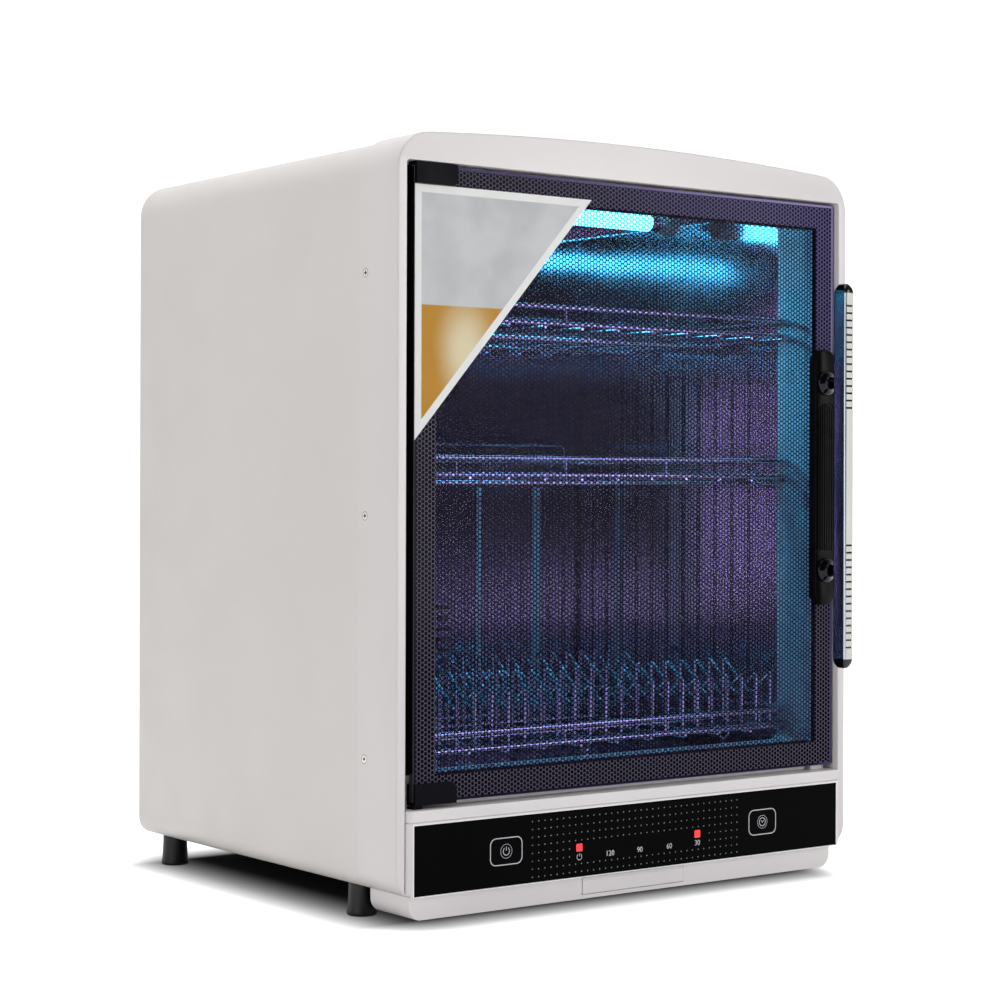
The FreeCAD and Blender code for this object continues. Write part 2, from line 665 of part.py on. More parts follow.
def draw_arched(sketch, inset, low, low_radius):
    """The frame's outline with its arched top, drawn inside the outer one by inset."""
    half = value(f"frame_half - ({inset})")
    bottom = value(low)
    foot = value(low_radius)
    shoulder = value("frame_top_radius")
    arch = value(ARCH_RADIUS)
    arch_centre = value(f"frame_crown - {ARCH_RADIUS}")
    corner_x = value("frame_half - frame_top_radius")
    corner_z = arch_centre + math.sqrt((arch - shoulder) ** 2 - corner_x ** 2)
    lean = math.atan2(corner_z - arch_centre, corner_x)
    shrink = value(inset)
    normal = Vector(0, 0, 1)

    def arc(x, z, radius, start, end):
        circle = Part.Circle(Vector(x, z, 0), normal, radius)
        return Part.ArcOfCircle(circle, start, end)

    def line(x1, z1, x2, z2):
        return Part.LineSegment(Vector(x1, z1, 0), Vector(x2, z2, 0))

    pieces = (
        line(-half + foot, bottom, half - foot, bottom),
        arc(half - foot, bottom + foot, foot, -math.pi / 2, 0),
        line(half, bottom + foot, half, corner_z),
        arc(corner_x, corner_z, shoulder - shrink, 0, lean),
        arc(0, arch_centre, arch - shrink, lean, math.pi - lean),
        arc(-corner_x, corner_z, shoulder - shrink, math.pi - lean, math.pi),
        line(-half, corner_z, -half, bottom + foot),
        arc(-half + foot, bottom + foot, foot, math.pi, 1.5 * math.pi),
    )
    first = sketch.GeometryCount
    for piece in pieces:
        sketch.addGeometry(piece, False)
    for index in range(8):
        after = first + (index + 1) % 8
        sketch.addConstraint(Sketcher.Constraint("Tangent", first + index, 2, after, 1))
    sketch.addConstraint(Sketcher.Constraint("PointOnObject", first + 4, 3, -2))
    bound = (
        ("Radius", (first + 1,), low_radius),
        ("Radius", (first + 7,), low_radius),
        ("Radius", (first + 3,), f"frame_top_radius - ({inset})"),
        ("Radius", (first + 5,), f"frame_top_radius - ({inset})"),
        ("Radius", (first + 4,), f"{ARCH_RADIUS} - ({inset})"),
        ("DistanceY", (-1, 1, first + 4, 3), f"frame_crown - {ARCH_RADIUS}"),
        ("DistanceY", (-1, 1, first, 1), low),
        ("DistanceX", (-1, 1, first + 2, 1), f"frame_half - ({inset})"),
        ("DistanceX", (-1, 1, first + 6, 1), f"({inset}) - frame_half"),
    )
    for kind, target, text in bound:
        number = sketch.addConstraint(Sketcher.Constraint(kind, *target, value(text)))
        sketch.setExpression(f"Constraints[{number}]", formula(text))
    sketch.addConstraint(Sketcher.Constraint("Vertical", first + 2))
    sketch.addConstraint(Sketcher.Constraint("Vertical", first + 6))


def make_front_frame():
    """Moulded front frame: outer band, door recess, collar round the window, hollow behind."""
    body = new_body("front_frame_body")
    outline = new_sketch(body, "XZ_Plane", "frame_outline")
    draw_arched(outline, "0", "frame_bottom", "frame_bottom_radius")
    pad(body, outline, "frame_pad", "frame_depth", reverse=True)
    cut_through(body, "frame_recess", "-opening_half", "opening_half", "frame_bottom - 40",
                "opening_top", ("recess_radius",) * 4, "0", "recess_depth")
    cut_through(body, "frame_window", "-window_half", "window_half", "window_bottom",
                "window_top", ("window_radius",) * 4, "recess_depth", "frame_depth")
    cut_through(body, "frame_wiring", "40 - window_half", "window_half - 40", "frame_bottom + 12",
                "window_bottom - 28", None, "recess_depth", "recess_depth + frame_wall")
    hollow = new_sketch(body, "XZ_Plane", "frame_hollow_outline", "-(recess_depth + frame_wall)")
    draw_arched(hollow, "frame_wall", "frame_bottom + frame_wall", "frame_bottom_radius - frame_wall")
    draw_rounded(hollow, "-window_half - collar_wall", "window_half + collar_wall",
                 "window_bottom - collar_wall", "window_top + collar_wall",
                 ("window_radius + collar_wall",) * 4)
    pocket(body, hollow, "frame_hollow", "frame_depth - recess_depth - frame_wall")
    bar = new_sketch(body, "XZ_Plane", "frame_bar_outline", "-frame_wall")
    draw_bar(bar, "frame_wall + 0.6", "opening_top + frame_wall")
    pocket(body, bar, "frame_bar_hollow", "recess_depth + 1")
    boss = block("upper_boss", "hinge_x - bush_half - 2", "pivot_depth - bush_half - 2",
                 "opening_top + 1", "2 * bush_half + 4", "2 * bush_half + 4", "bush_length + 1")
    whole = join("frame_with_boss", body, boss)
    holes = (
        block("upper_bush_hole", "hinge_x - bush_half - hole_slack",
              "pivot_depth - bush_half - hole_slack", "opening_top", "2 * (bush_half + hole_slack)",
              "2 * (bush_half + hole_slack)", "bush_length"),
        block("switch_hole", "switch_x - plunger_half - plunger_slack", "recess_depth - 1",
              "switch_height - plunger_half - plunger_slack", "2 * (plunger_half + plunger_slack)",
              "frame_wall + 2", "2 * (plunger_half + plunger_slack)"),
    )
    finish = new_body("front_frame_finish")
    finish.BaseFeature = cut("front_frame_cut", whole, *holes)
    limit = value("opening_half") + 1
    top = value("opening_top") + 2
    toe = value("frame_bottom + frame_bottom_radius")
    dress_edges(finish, "Chamfer", "frame_edge_bevel", "Size", "frame_edge",
                lambda point: abs(point.y) < 1e-6
                and (abs(point.x) > limit - 1.001 or point.z > top)
                and (abs(point.x) > limit or point.z > top or point.z < toe))
    node("front_frame", finish)


def make_control_housing():
    """Control housing between the posts: ledge with fine ribs, pocket for the glass, bosses."""
    body = new_body("control_housing_body")
    outline = new_sketch(body, "XZ_Plane", "housing_outline", "housing_proud")
    inner_corner = "frame_half - frame_bottom_radius"
    draw_outline(outline, (
        ("-housing_half", "housing_bottom + housing_corner"),
        (f"-({inner_corner})", "housing_bottom"),
        (inner_corner, "housing_bottom"),
        ("housing_half", "housing_bottom + housing_corner"),
        ("housing_half", "housing_top"),
        ("-housing_half", "housing_top"),
    ))
    pad(body, outline, "housing_pad", "housing_proud + recess_depth", reverse=True)
    front = -value("housing_proud")
    side = value("housing_half")
    dress_edges(body, "Fillet", "housing_round", "Radius", "housing_radius",
                lambda point: abs(point.y - front) < 1e-6 and abs(abs(point.x) - side) < 1e-6)
    cut_through(body, "housing_hollow", "housing_wall - housing_half", "housing_half - housing_wall",
                "housing_bottom + housing_wall", "housing_top - housing_wall", None,
                "glass_back + 2", "recess_depth")
    cut_through(body, "housing_glass_pocket", "-glass_half", "glass_half", "glass_bottom",
                "glass_top", None, "-housing_proud", "glass_back")
    tools = []
    for index in range(int(value("rib_count"))):
        tools.append(block(f"ledge_groove_{index}", "-housing_half", "-housing_proud - 1",
                           f"housing_top - {index + 1} * rib_pitch", "2 * housing_half",
                           "rib_cut + 1", "rib_groove"))
    tools.append(block("ledge_seam", "-housing_half", "-housing_proud - 1",
                       "glass_top + seam_rise", "2 * housing_half", "seam_cut + 1",
                       "seam_height"))
    for name, x in (("power_light", "led_left_x"), ("timer_light", "led_right_x")):
        tools.append(block(name + "_hole", f"{x} - led_half - hole_slack", "glass_back - 0.2",
                           "led_height - led_half - hole_slack", "2 * (led_half + hole_slack)",
                           "2.4", "2 * (led_half + hole_slack)"))
    tools.append(block("lower_bush_hole", "hinge_x - bush_half - hole_slack",
                       "pivot_depth - bush_half - hole_slack", "housing_top - bush_length",
                       "2 * (bush_half + hole_slack)", "2 * (bush_half + hole_slack)",
                       "bush_length"))
    bosses = [block("lower_boss", "hinge_x - bush_half - 2", "pivot_depth - bush_half - 2",
                    "housing_top - bush_length - 2", "2 * bush_half + 4", "2 * bush_half + 4",
                    "bush_length + 1")]
    for index, x in enumerate(("8 - board_half", "board_half - 12")):
        bosses.append(block(f"board_rib_{index}", x, "glass_back + 1", "housing_bottom + 1", "4",
                            "board_front - glass_back - 1", "housing_top - housing_bottom - 2"))
    node("control_housing", cut("housing_cut", join("housing_with_bosses", body, *bosses), *tools))


def make_control_parts():
    """What the control housing carries."""
    node("control_glass", rounded_plate("control_glass_body", "-glass_half", "glass_half",
                                        "glass_bottom", "glass_top", None,
                                        "-housing_proud", "glass_thickness"))
    lights = [
        block("light_pipe", f"{x} - led_half", "glass_back", "led_height - led_half",
              "2 * led_half", "board_front - glass_back", "2 * led_half")
        for x in ("led_left_x", "led_right_x")
    ]
    node("indicator_lights", group("indicator_lights_group", *lights))
    pads = [
        block("touch_pad_block", f"{x} - key_radius", "glass_back + 2.1", "key_height - key_radius",
              "2 * key_radius", "board_front - glass_back - 2.1", "2 * key_radius")
        for x in ("key_left_x", "key_right_x")
    ]
    node("touch_pads", group("touch_pads_group", *pads))
    node("control_board", block("control_board_block", "-board_half", "board_front",
                                "key_height - board_height / 2", "2 * board_half",
                                "board_thickness", "board_height"))


# Casing, rear panel and bottom

def make_outer_casing():
    """Folded casing: one sheet round the cabinet, a lip at the back, flanges under the feet."""
    body = rounded_plate("outer_casing_body", "-casing_half", "casing_half", "foot_height",
                         "casing_top", ("casing_bottom_radius",) * 2 + ("casing_top_radius",) * 2,
                         "frame_depth", "casing_depth - frame_depth")
    inner = ("casing_wall - casing_half", "casing_half - casing_wall", "foot_height + casing_wall",
             "casing_top - casing_wall")
    radii = ("casing_bottom_radius - casing_wall",) * 2 + ("casing_top_radius - casing_wall",) * 2
    cut_through(body, "casing_inside", *inner, radii, "frame_depth", "rear_inner - casing_wall")
    cut_through(body, "casing_rear_seat", *inner, radii, "rear_inner", "casing_depth")
    cut_through(body, "casing_lip_opening", "casing_wall + rear_lip - casing_half",
                "casing_half - casing_wall - rear_lip", "foot_height + casing_wall + rear_lip",
                "casing_top - casing_wall - rear_lip", None,
                "rear_inner - casing_wall", "rear_inner")
    opening = block("casing_floor_opening",
                    "casing_bottom_radius + casing_foot_flange - casing_half",
                    "frame_depth - 1", "foot_height - 1",
                    "2 * (casing_half - casing_bottom_radius - casing_foot_flange)",
                    "rear_inner - casing_wall - frame_depth + 1", "casing_wall + 2")
    node("outer_casing", cut("outer_casing_cut", body, opening))


def make_rear_panel():
    """Rear panel with the blower's inlet slots, the exhaust slots and the cord's hole."""
    inset = "casing_wall + 0.1"
    body = rounded_plate("rear_panel_body", f"{inset} - casing_half", f"casing_half - ({inset})",
                         f"foot_height + {inset}", f"casing_top - ({inset})",
                         ("casing_bottom_radius - casing_wall",) * 2
                         + ("casing_top_radius - casing_wall",) * 2,
                         "rear_inner", "panel_thickness")
    tools = [rod("gland_hole", "y", "gland_bore + 2 + hole_slack", "panel_thickness + 2", "gland_x",
                 "rear_inner - 1", "gland_height")]
    for index in range(int(value("vent_count"))):
        tools.append(block(f"inlet_slot_{index}", "-vent_length / 2", "rear_inner - 1",
                           f"fan_height + ({index} - (vent_count - 1) / 2) * vent_pitch"
                           " - vent_slot / 2",
                           "vent_length", "panel_thickness + 2", "vent_slot"))
    for index in range(int(value("exhaust_count"))):
        tools.append(block(f"exhaust_slot_{index}", "-vent_length", "rear_inner - 1",
                           f"exhaust_height + {index} * vent_pitch", "2 * vent_length",
                           "panel_thickness + 2", "vent_slot"))
    node("rear_panel", cut("rear_panel_cut", body, *tools))


def draw_bar(sketch, inset, low):
    """The hollow over the door: a flat underside below the frame's arched top."""
    bottom = value(low)
    shoulder = value(f"frame_top_radius - ({inset})")
    arch = value(f"{ARCH_RADIUS} - ({inset})")
    arch_centre = value(f"frame_crown - {ARCH_RADIUS}")
    corner_x = value("frame_half - frame_top_radius")
    corner_z = arch_centre + math.sqrt((arch - shoulder) ** 2 - corner_x ** 2)
    lean = math.atan2(corner_z - arch_centre, corner_x)
    start = math.asin((bottom - corner_z) / shoulder)
    end_x = corner_x + shoulder * math.cos(start)
    normal = Vector(0, 0, 1)

    def arc(x, z, radius, first_angle, last_angle):
        circle = Part.Circle(Vector(x, z, 0), normal, radius)
        return Part.ArcOfCircle(circle, first_angle, last_angle)

    pieces = (
        Part.LineSegment(Vector(-end_x, bottom, 0), Vector(end_x, bottom, 0)),
        arc(corner_x, corner_z, shoulder, start, lean),
        arc(0, arch_centre, arch, lean, math.pi - lean),
        arc(-corner_x, corner_z, shoulder, math.pi - lean, math.pi - start),
    )
    first = sketch.GeometryCount
    for piece in pieces:
        sketch.addGeometry(piece, False)
    sketch.addConstraint(Sketcher.Constraint("Coincident", first, 2, first + 1, 1))
    sketch.addConstraint(Sketcher.Constraint("Tangent", first + 1, 2, first + 2, 1))
    sketch.addConstraint(Sketcher.Constraint("Tangent", first + 2, 2, first + 3, 1))
    sketch.addConstraint(Sketcher.Constraint("Coincident", first + 3, 2, first, 1))
    sketch.addConstraint(Sketcher.Constraint("Horizontal", first))
    sketch.addConstraint(Sketcher.Constraint("PointOnObject", first + 2, 3, -2))
    bound = (
        ("Radius", (first + 1,), f"frame_top_radius - ({inset})"),
        ("Radius", (first + 3,), f"frame_top_radius - ({inset})"),
        ("Radius", (first + 2,), f"{ARCH_RADIUS} - ({inset})"),
        ("DistanceY", (-1, 1, first + 2, 3), f"frame_crown - {ARCH_RADIUS}"),
        ("DistanceY", (-1, 1, first, 1), low),
        ("DistanceX", (-1, 1, first + 1, 3), "frame_half - frame_top_radius"),
        ("DistanceX", (-1, 1, first + 3, 3), "frame_top_radius - frame_half"),
    )
    for kind, target, text in bound:
        number = sketch.addConstraint(Sketcher.Constraint(kind, *target, value(text)))
        sketch.setExpression(f"Constraints[{number}]", formula(text))


def ring_of(sides, radius, centre):
    """A level ring of straight sides about a point."""
    corners = []
    for index in range(sides):
        angle = 2 * math.pi * index / sides
        corners.append(centre + Vector(radius * math.cos(angle), radius * math.sin(angle), 0))
    return Part.makePolygon(corners + corners[:1])


def make_bottom_parts():
    """Bottom plate, feet, plinth, drip tray and its guides, drain."""
    plate = block("bottom_plate_block", "casing_bottom_radius - casing_half",
                  "frame_depth + 1", "floor_plate", "2 * (casing_half - casing_bottom_radius)",
                  "rear_inner - casing_wall - frame_depth - 2", "panel_thickness")
    drain_hole = rod("plate_drain_hole", "z", "drain_radius + drain_wall + 0.5", "4", "0", "drain_depth",
                     "floor_plate - 1")
    feet = []
    for x in ("-foot_inset_x", "foot_inset_x"):
        for y in ("foot_front_depth", "foot_rear_depth"):
            rings = []
            for radius, z in (("foot_radius - 1", "0"), ("foot_radius", "2"),
                              ("foot_neck", "foot_height")):
                rings.append(ring_of(int(value("foot_sides")), value(radius), at(x, y, z)))
            feet.append(Part.makeLoft(rings, True, True))
    node("bottom_plate", cut("bottom_plate_cut", plate, drain_hole))
    shape_node("feet", Part.makeCompound(feet))

    body = rounded_plate("plinth_body", "-plinth_half", "plinth_half", "plinth_bottom",
                         "foot_height", ("plinth_radius",) * 2 + ("0.6",) * 2, "plinth_front",
                         "plinth_depth")
    cut_through(body, "plinth_hollow", "plinth_radius - plinth_half", "plinth_half - plinth_radius",
                "plinth_bottom + plinth_wall", "foot_height - plinth_wall", None,
                "plinth_front + plinth_wall", "plinth_front + plinth_depth")
    cut_through(body, "plinth_slot", "-tray_half - tray_slack", "tray_half + tray_slack",
                "tray_bottom - tray_slack", "tray_top + tray_slack", None,
                "plinth_front", "plinth_front + plinth_wall")
    node("plinth", body)

    front = block("tray_front_plate", "-tray_half", "tray_front", "tray_bottom", "tray_width",
                  "2", "tray_top - tray_bottom")
    walls = block("tray_walls", "-tray_half", "tray_front", "tray_bottom", "tray_width",
                  "tray_depth", "tray_rim - tray_bottom")
    inside = block("tray_inside", "tray_wall - tray_half", "tray_front + 2", "tray_bottom + tray_wall",
                   "tray_width - 2 * tray_wall", "tray_depth - 2 - tray_wall", "tray_rim")
    groove = block("tray_finger_groove", "-tray_half - 1", "tray_front - 1",
                   "tray_top - 2.2", "tray_width + 2", "1.6", "0.9")
    node("drip_tray", cut("tray_cut", join("tray_joined", front, walls), inside, groove))

    guides = []
    for name, sign in (("left", "-1"), ("right", "1")):
        web_low = "tray_bottom - slide_gap - guide_wall"
        web_x = "tray_half + slide_gap" if sign == "1" else "-tray_half - slide_gap - guide_wall"
        foot_x = ("tray_half + slide_gap - guide_foot" if sign == "1"
                  else "-tray_half - slide_gap")
        web = block(f"guide_web_{name}", web_x, "plinth_front + plinth_depth", web_low, "guide_wall",
                    "tray_depth - plinth_depth", f"floor_plate - ({web_low})")
        foot = block(f"guide_foot_{name}", foot_x, "plinth_front + plinth_depth", web_low,
                     "guide_foot", "tray_depth - plinth_depth", "guide_wall")
        guides.append(join(f"guide_{name}", web, foot))
    node("tray_guides", group("tray_guides_group", *guides))

    outside = rod("drain_outside", "z", "drain_radius + drain_wall",
                  "liner_bottom - liner_wall - tray_rim - 1", "0", "drain_depth", "tray_rim + 1")
    bore = rod("drain_bore", "z", "drain_radius", "liner_bottom", "0", "drain_depth", "tray_rim")
    node("drain_spout", cut("drain_cut", outside, bore))


# Liner and what hangs in it

def make_liner():
    """Stainless liner: a deep tray with round corners, a front flange and warm-air slots."""
    reach = "liner_half + 12"
    body = rounded_plate("liner_body", f"-({reach})", reach, "liner_bottom - 12", "liner_top + 6",
                         None, "frame_depth", "liner_wall")
    outline = new_sketch(body, "XZ_Plane", "liner_outline", "-(frame_depth + liner_wall)")
    draw_rounded(outline, "-liner_half - liner_wall", "liner_half + liner_wall",
                 "liner_bottom - liner_wall", "liner_top + liner_wall",
                 ("liner_radius + liner_wall",) * 4)
    pad(body, outline, "liner_pad", "liner_back - frame_depth", reverse=True)
    cut_through(body, "liner_inside", "-liner_half", "liner_half", "liner_bottom", "liner_top",
                ("liner_radius",) * 4, "frame_depth + liner_wall", "liner_back")
    cut_through(body, "liner_mouth", "-window_half", "window_half", "window_bottom", "window_top",
                ("window_radius",) * 4, "frame_depth", "frame_depth + liner_wall")
    tools = [rod("liner_drain_hole", "z", "drain_radius", "4", "0", "drain_depth",
                 "liner_bottom - 2")]
    for index in range(int(value("louvre_count"))):
        tools.append(block(f"louvre_{index}", "-louvre_length / 2", "liner_back - 1",
                           f"louvre_bottom + {index} * louvre_pitch", "louvre_length",
                           "liner_wall + 2", "louvre_height"))
    node("liner", cut("liner_cut", body, *tools))


def make_liner_supports():
    """Two hat channels between the bottom plate and the liner."""
    low = "floor_plate + panel_thickness"
    tall = f"liner_bottom - liner_wall - ({low})"
    channels = []
    for side in ("-1", "1"):
        x = f"{side} * support_x - support_width / 2"
        outer = block("support_outer", x, "frame_depth + 20", low, "support_width",
                      "liner_back - frame_depth - 40", tall)
        inner = block("support_inner", f"{x} + 1", "frame_depth + 19", f"{low} + 1",
                      "support_width - 2", "liner_back - frame_depth - 38", f"{tall} - 2")
        channels.append(cut("support_cut", outer, inner))
    node("liner_supports", group("liner_supports_group", *channels))


def make_rack_rails():
    """Angle rails on the liner's side walls under the two upper racks."""
    rails = []
    for rack_top in ("upper_rack_top", "middle_rack_top"):
        seat = f"{rack_top} - rack_drop - rim_radius * sqrt(0.75) - slide_gap"
        for side in ("left", "right"):
            shelf_x = "-liner_half" if side == "left" else "liner_half - rail_width"
            lip_x = "-liner_half" if side == "left" else "liner_half - rail_sheet"
            shelf = block("rail_shelf", shelf_x, "rail_start", f"{seat} - rail_sheet", "rail_width",
                          "rail_depth", "rail_sheet")
            lip = block("rail_lip", lip_x, "rail_start", f"{seat} - rail_lip", "rail_sheet",
                        "rail_depth", "rail_lip")
            rails.append(join("rail", shelf, lip))
    node("rack_rails", group("rack_rails_group", *rails))


# Height of a wire's upper side above its middle, as a share of its radius
FLAT = math.sqrt(0.75)


def wire_section(radius, centre, along, sides):
    """A six- or four-sided section about a point, square to a direction, with a side facing up.

    Both have their upper side at the same height, FLAT times the wire's radius.
    """
    turn = Rotation(Vector(0, 0, 1), along)
    if abs(along.z) < 0.5:
        across = along.cross(Vector(0, 0, 1))
        turn = Rotation(across, Vector(0, 0, 1), along, "ZXY")
    reach = radius if sides == 6 else radius * FLAT * math.sqrt(2)
    first = 0 if sides == 6 else 45
    corners = []
    for index in range(sides):
        angle = math.radians(first + 360 * index / sides)
        corners.append(centre + turn.multVec(Vector(reach * math.cos(angle),
                                                    reach * math.sin(angle), 0)))
    return Part.makePolygon(corners + corners[:1])


def straight_wire(radius, start, end):
    """A wire between two points."""
    run = end - start
    run.normalize()
    return Part.Face(wire_section(radius, start, run, 4)).extrude(end - start)


def bent_wire(radius, points):
    """A wire through points, with mitred bends."""
    run = points[1] - points[0]
    run.normalize()
    path = Part.makePolygon(points)
    return path.makePipeShell([wire_section(radius, points[0], run, 4)], True, False, 1)


def rim_loop(radius, half, front, back, corner, z):
    """A closed rim, lying level, whose corners are bent in two steps."""
    share = (0, 1 - math.sqrt(0.5), 1)
    corners = []
    for sx, sy in ((1, -1), (1, 1), (-1, 1), (-1, -1)):
        y = front if sy < 0 else back
        along_x = [Vector(sx * (half - corner), y, z)]
        middle = [Vector(sx * (half - corner * share[1]), y - sy * corner * share[1], z)]
        along_y = [Vector(sx * half, y - sy * corner, z)]
        steps = along_x + middle + along_y
        corners += steps if sx * sy < 0 else steps[::-1]
    start = (corners[0] + corners[-1]) * 0.5
    points = [start] + corners + [start]
    run = corners[0] - start
    run.normalize()
    path = Part.makePolygon(points)
    return path.makePipeShell([wire_section(radius, start, run, 6)], True, False, 1)


def rack_values():
    """The sizes that the racks share, read from the sheet."""
    names = ("rack_half", "rack_front", "rack_back", "rack_drop", "rim_radius", "wire_radius",
             "post_radius", "rack_corner", "rack_backstop", "rim_post_near", "rim_post_far",
             "rack_wires", "rack_wire_edge", "foot_wire_x", "foot_wire_depth",
             "foot_wire_spread", "foot_wire_base", "slide_gap", "liner_bottom")
    return {name: value(name) for name in names}


def rack_pieces(v, top, brace_depth):
    """The wires of a rack: two rims, posts between them, floor wires, cross wires below."""
    rim, wire, post = v["rim_radius"], v["wire_radius"], v["post_radius"]
    half, front, back = v["rack_half"], v["rack_front"], v["rack_back"]
    low = top - v["rack_drop"]
    pieces = [rim_loop(rim, half, front, back, v["rack_corner"], z) for z in (top, low)]
    spots = [(x, front) for x in (-v["rim_post_far"], -v["rim_post_near"],
                                  v["rim_post_near"], v["rim_post_far"])]
    spots += [(-v["rim_post_far"], back), (v["rim_post_far"], back)]
    spots += [(side, (front + back) / 2) for side in (-half, half)]
    for x, y in spots:
        pieces.append(straight_wire(post, Vector(x, y, low + FLAT * rim),
                                    Vector(x, y, top - FLAT * rim)))
    floor = low - FLAT * (rim + wire)
    count = int(v["rack_wires"])
    edge = half - v["rack_wire_edge"]
    for index in range(count):
        x = -edge + 2 * edge * index / (count - 1)
        pieces.append(straight_wire(wire, Vector(x, front - rim, floor),
                                    Vector(x, back + rim, floor)))
    brace = floor - FLAT * (wire + rim)
    middle = (front + back) / 2
    for y in (middle - brace_depth, middle + brace_depth):
        pieces.append(straight_wire(rim, Vector(-edge - 4, y, brace), Vector(edge + 4, y, brace)))
    return pieces, brace, middle


def fuse_all(pieces):
    """Welded wires as one solid."""
    shape = pieces[0].multiFuse(pieces[1:])
    if len(shape.Solids) != 1:
        raise RuntimeError(f"welded wires came out as {len(shape.Solids)} solids")
    return shape.Solids[0]


def make_racks():
    """Upper and middle racks, the plate rack with its wire feet, and the plate dividers."""
    v = rack_values()
    rim, wire, post = v["rim_radius"], v["wire_radius"], v["post_radius"]
    for name in ("upper_rack", "middle_rack"):
        top = value(name + "_top")
        pieces, brace, middle = rack_pieces(v, top, value("rack_brace"))
        ends = v["rack_half"] - 2 * v["rack_corner"]
        foot = top + FLAT * rim
        stop = top + v["rack_backstop"]
        back = v["rack_back"]
        pieces.append(bent_wire(post, [
            Vector(-ends, back, foot), Vector(-ends, back, stop),
            Vector(ends, back, stop), Vector(ends, back, foot),
        ]))
        shape_node(name, fuse_all(pieces))

    top = value("plate_rack_top")
    pieces, brace, middle = rack_pieces(v, top, v["foot_wire_depth"])
    ground = v["liner_bottom"] + v["slide_gap"] + wire * FLAT
    wide = v["foot_wire_spread"] / 2
    narrow = v["foot_wire_base"] / 2
    for x in (-v["foot_wire_x"], 0, v["foot_wire_x"]):
        for y in (middle - v["foot_wire_depth"], middle + v["foot_wire_depth"]):
            pieces.append(bent_wire(wire, [
                Vector(x - wide, y, brace), Vector(x - narrow, y, ground),
                Vector(x + narrow, y, ground), Vector(x + wide, y, brace),
            ]))
    carrier_half = v["rack_half"] - v["rack_wire_edge"]
    floor_top = top - v["rack_drop"] - FLAT * rim
    starts = [value("divider_front") + row * value("divider_row_step") for row in range(2)]
    for start in starts:
        for y in (start, start + value("divider_span")):
            z = floor_top + FLAT * wire
            pieces.append(straight_wire(wire, Vector(-carrier_half, y, z),
                                        Vector(carrier_half, y, z)))
    shape_node("plate_rack", fuse_all(pieces))

    seat = floor_top + 2 * FLAT * wire
    dividers = []
    count = int(value("divider_count"))
    pitch = value("divider_pitch")
    for start in starts:
        notch = start + value("divider_notch")
        end = start + value("divider_span")
        for index in range(count):
            x = (index - (count - 1) / 2) * pitch
            dividers.append(bent_wire(wire, [
                Vector(x, start, seat), Vector(x, start, value("divider_front_top")),
                Vector(x, notch, value("divider_notch_top")),
                Vector(x, end, value("divider_rear_top")), Vector(x, end, seat),
            ]))
    shape_node("plate_dividers", Part.makeCompound(dividers))


# Lamp and its fittings

def make_lamp_parts():
    """Ultraviolet tube across the ceiling, its holders and reflector, and the thermal cut-out."""
    node("uv_lamp", rod("lamp_tube", "x", "lamp_radius", "2 * lamp_half", "-lamp_half",
                        "lamp_depth", "lamp_height"))
    holders = []
    for side, start in (("left", "-lamp_half - socket_width"), ("right", "lamp_half")):
        round_end = rod(f"holder_round_{side}", "x", "lamp_radius + 3", "socket_width", start,
                        "lamp_depth", "lamp_height")
        stem = block(f"holder_stem_{side}", start, "lamp_depth - lamp_radius - 3", "lamp_height",
                     "socket_width", "2 * lamp_radius + 6", "liner_top - lamp_height")
        holders.append(join(f"holder_{side}", round_end, stem))
    node("lamp_holders", group("lamp_holders_group", *holders))

    body = new_body("reflector_body")
    profile = new_sketch(body, "YZ_Plane", "reflector_outline", "2 - lamp_half")
    wing = "reflector_sheet * 1.5"
    draw_outline(profile, (
        ("lamp_depth - reflector_half", "liner_top - reflector_drop"),
        (f"lamp_depth - reflector_half + {wing}", "liner_top - reflector_drop"),
        ("lamp_depth - reflector_flat", "liner_top - reflector_sheet"),
        ("lamp_depth + reflector_flat", "liner_top - reflector_sheet"),
        (f"lamp_depth + reflector_half - {wing}", "liner_top - reflector_drop"),
        ("lamp_depth + reflector_half", "liner_top - reflector_drop"),
        ("lamp_depth + reflector_flat", "liner_top"),
        ("lamp_depth - reflector_flat", "liner_top"),
    ))
    pad(body, profile, "reflector_pad", "2 * lamp_half - 4")
    node("lamp_reflector", body)

    can = rod("cutout_can", "y", "cutout_radius", "cutout_thickness", "0", "liner_rear",
              "cutout_height")
    ears = block("cutout_ears", "-cutout_radius - 6", "liner_rear", "cutout_height - 4",
                 "2 * cutout_radius + 12", "1", "8")
    node("thermal_cutout", join("cutout_joined", can, ears))


# Blower, heater and duct

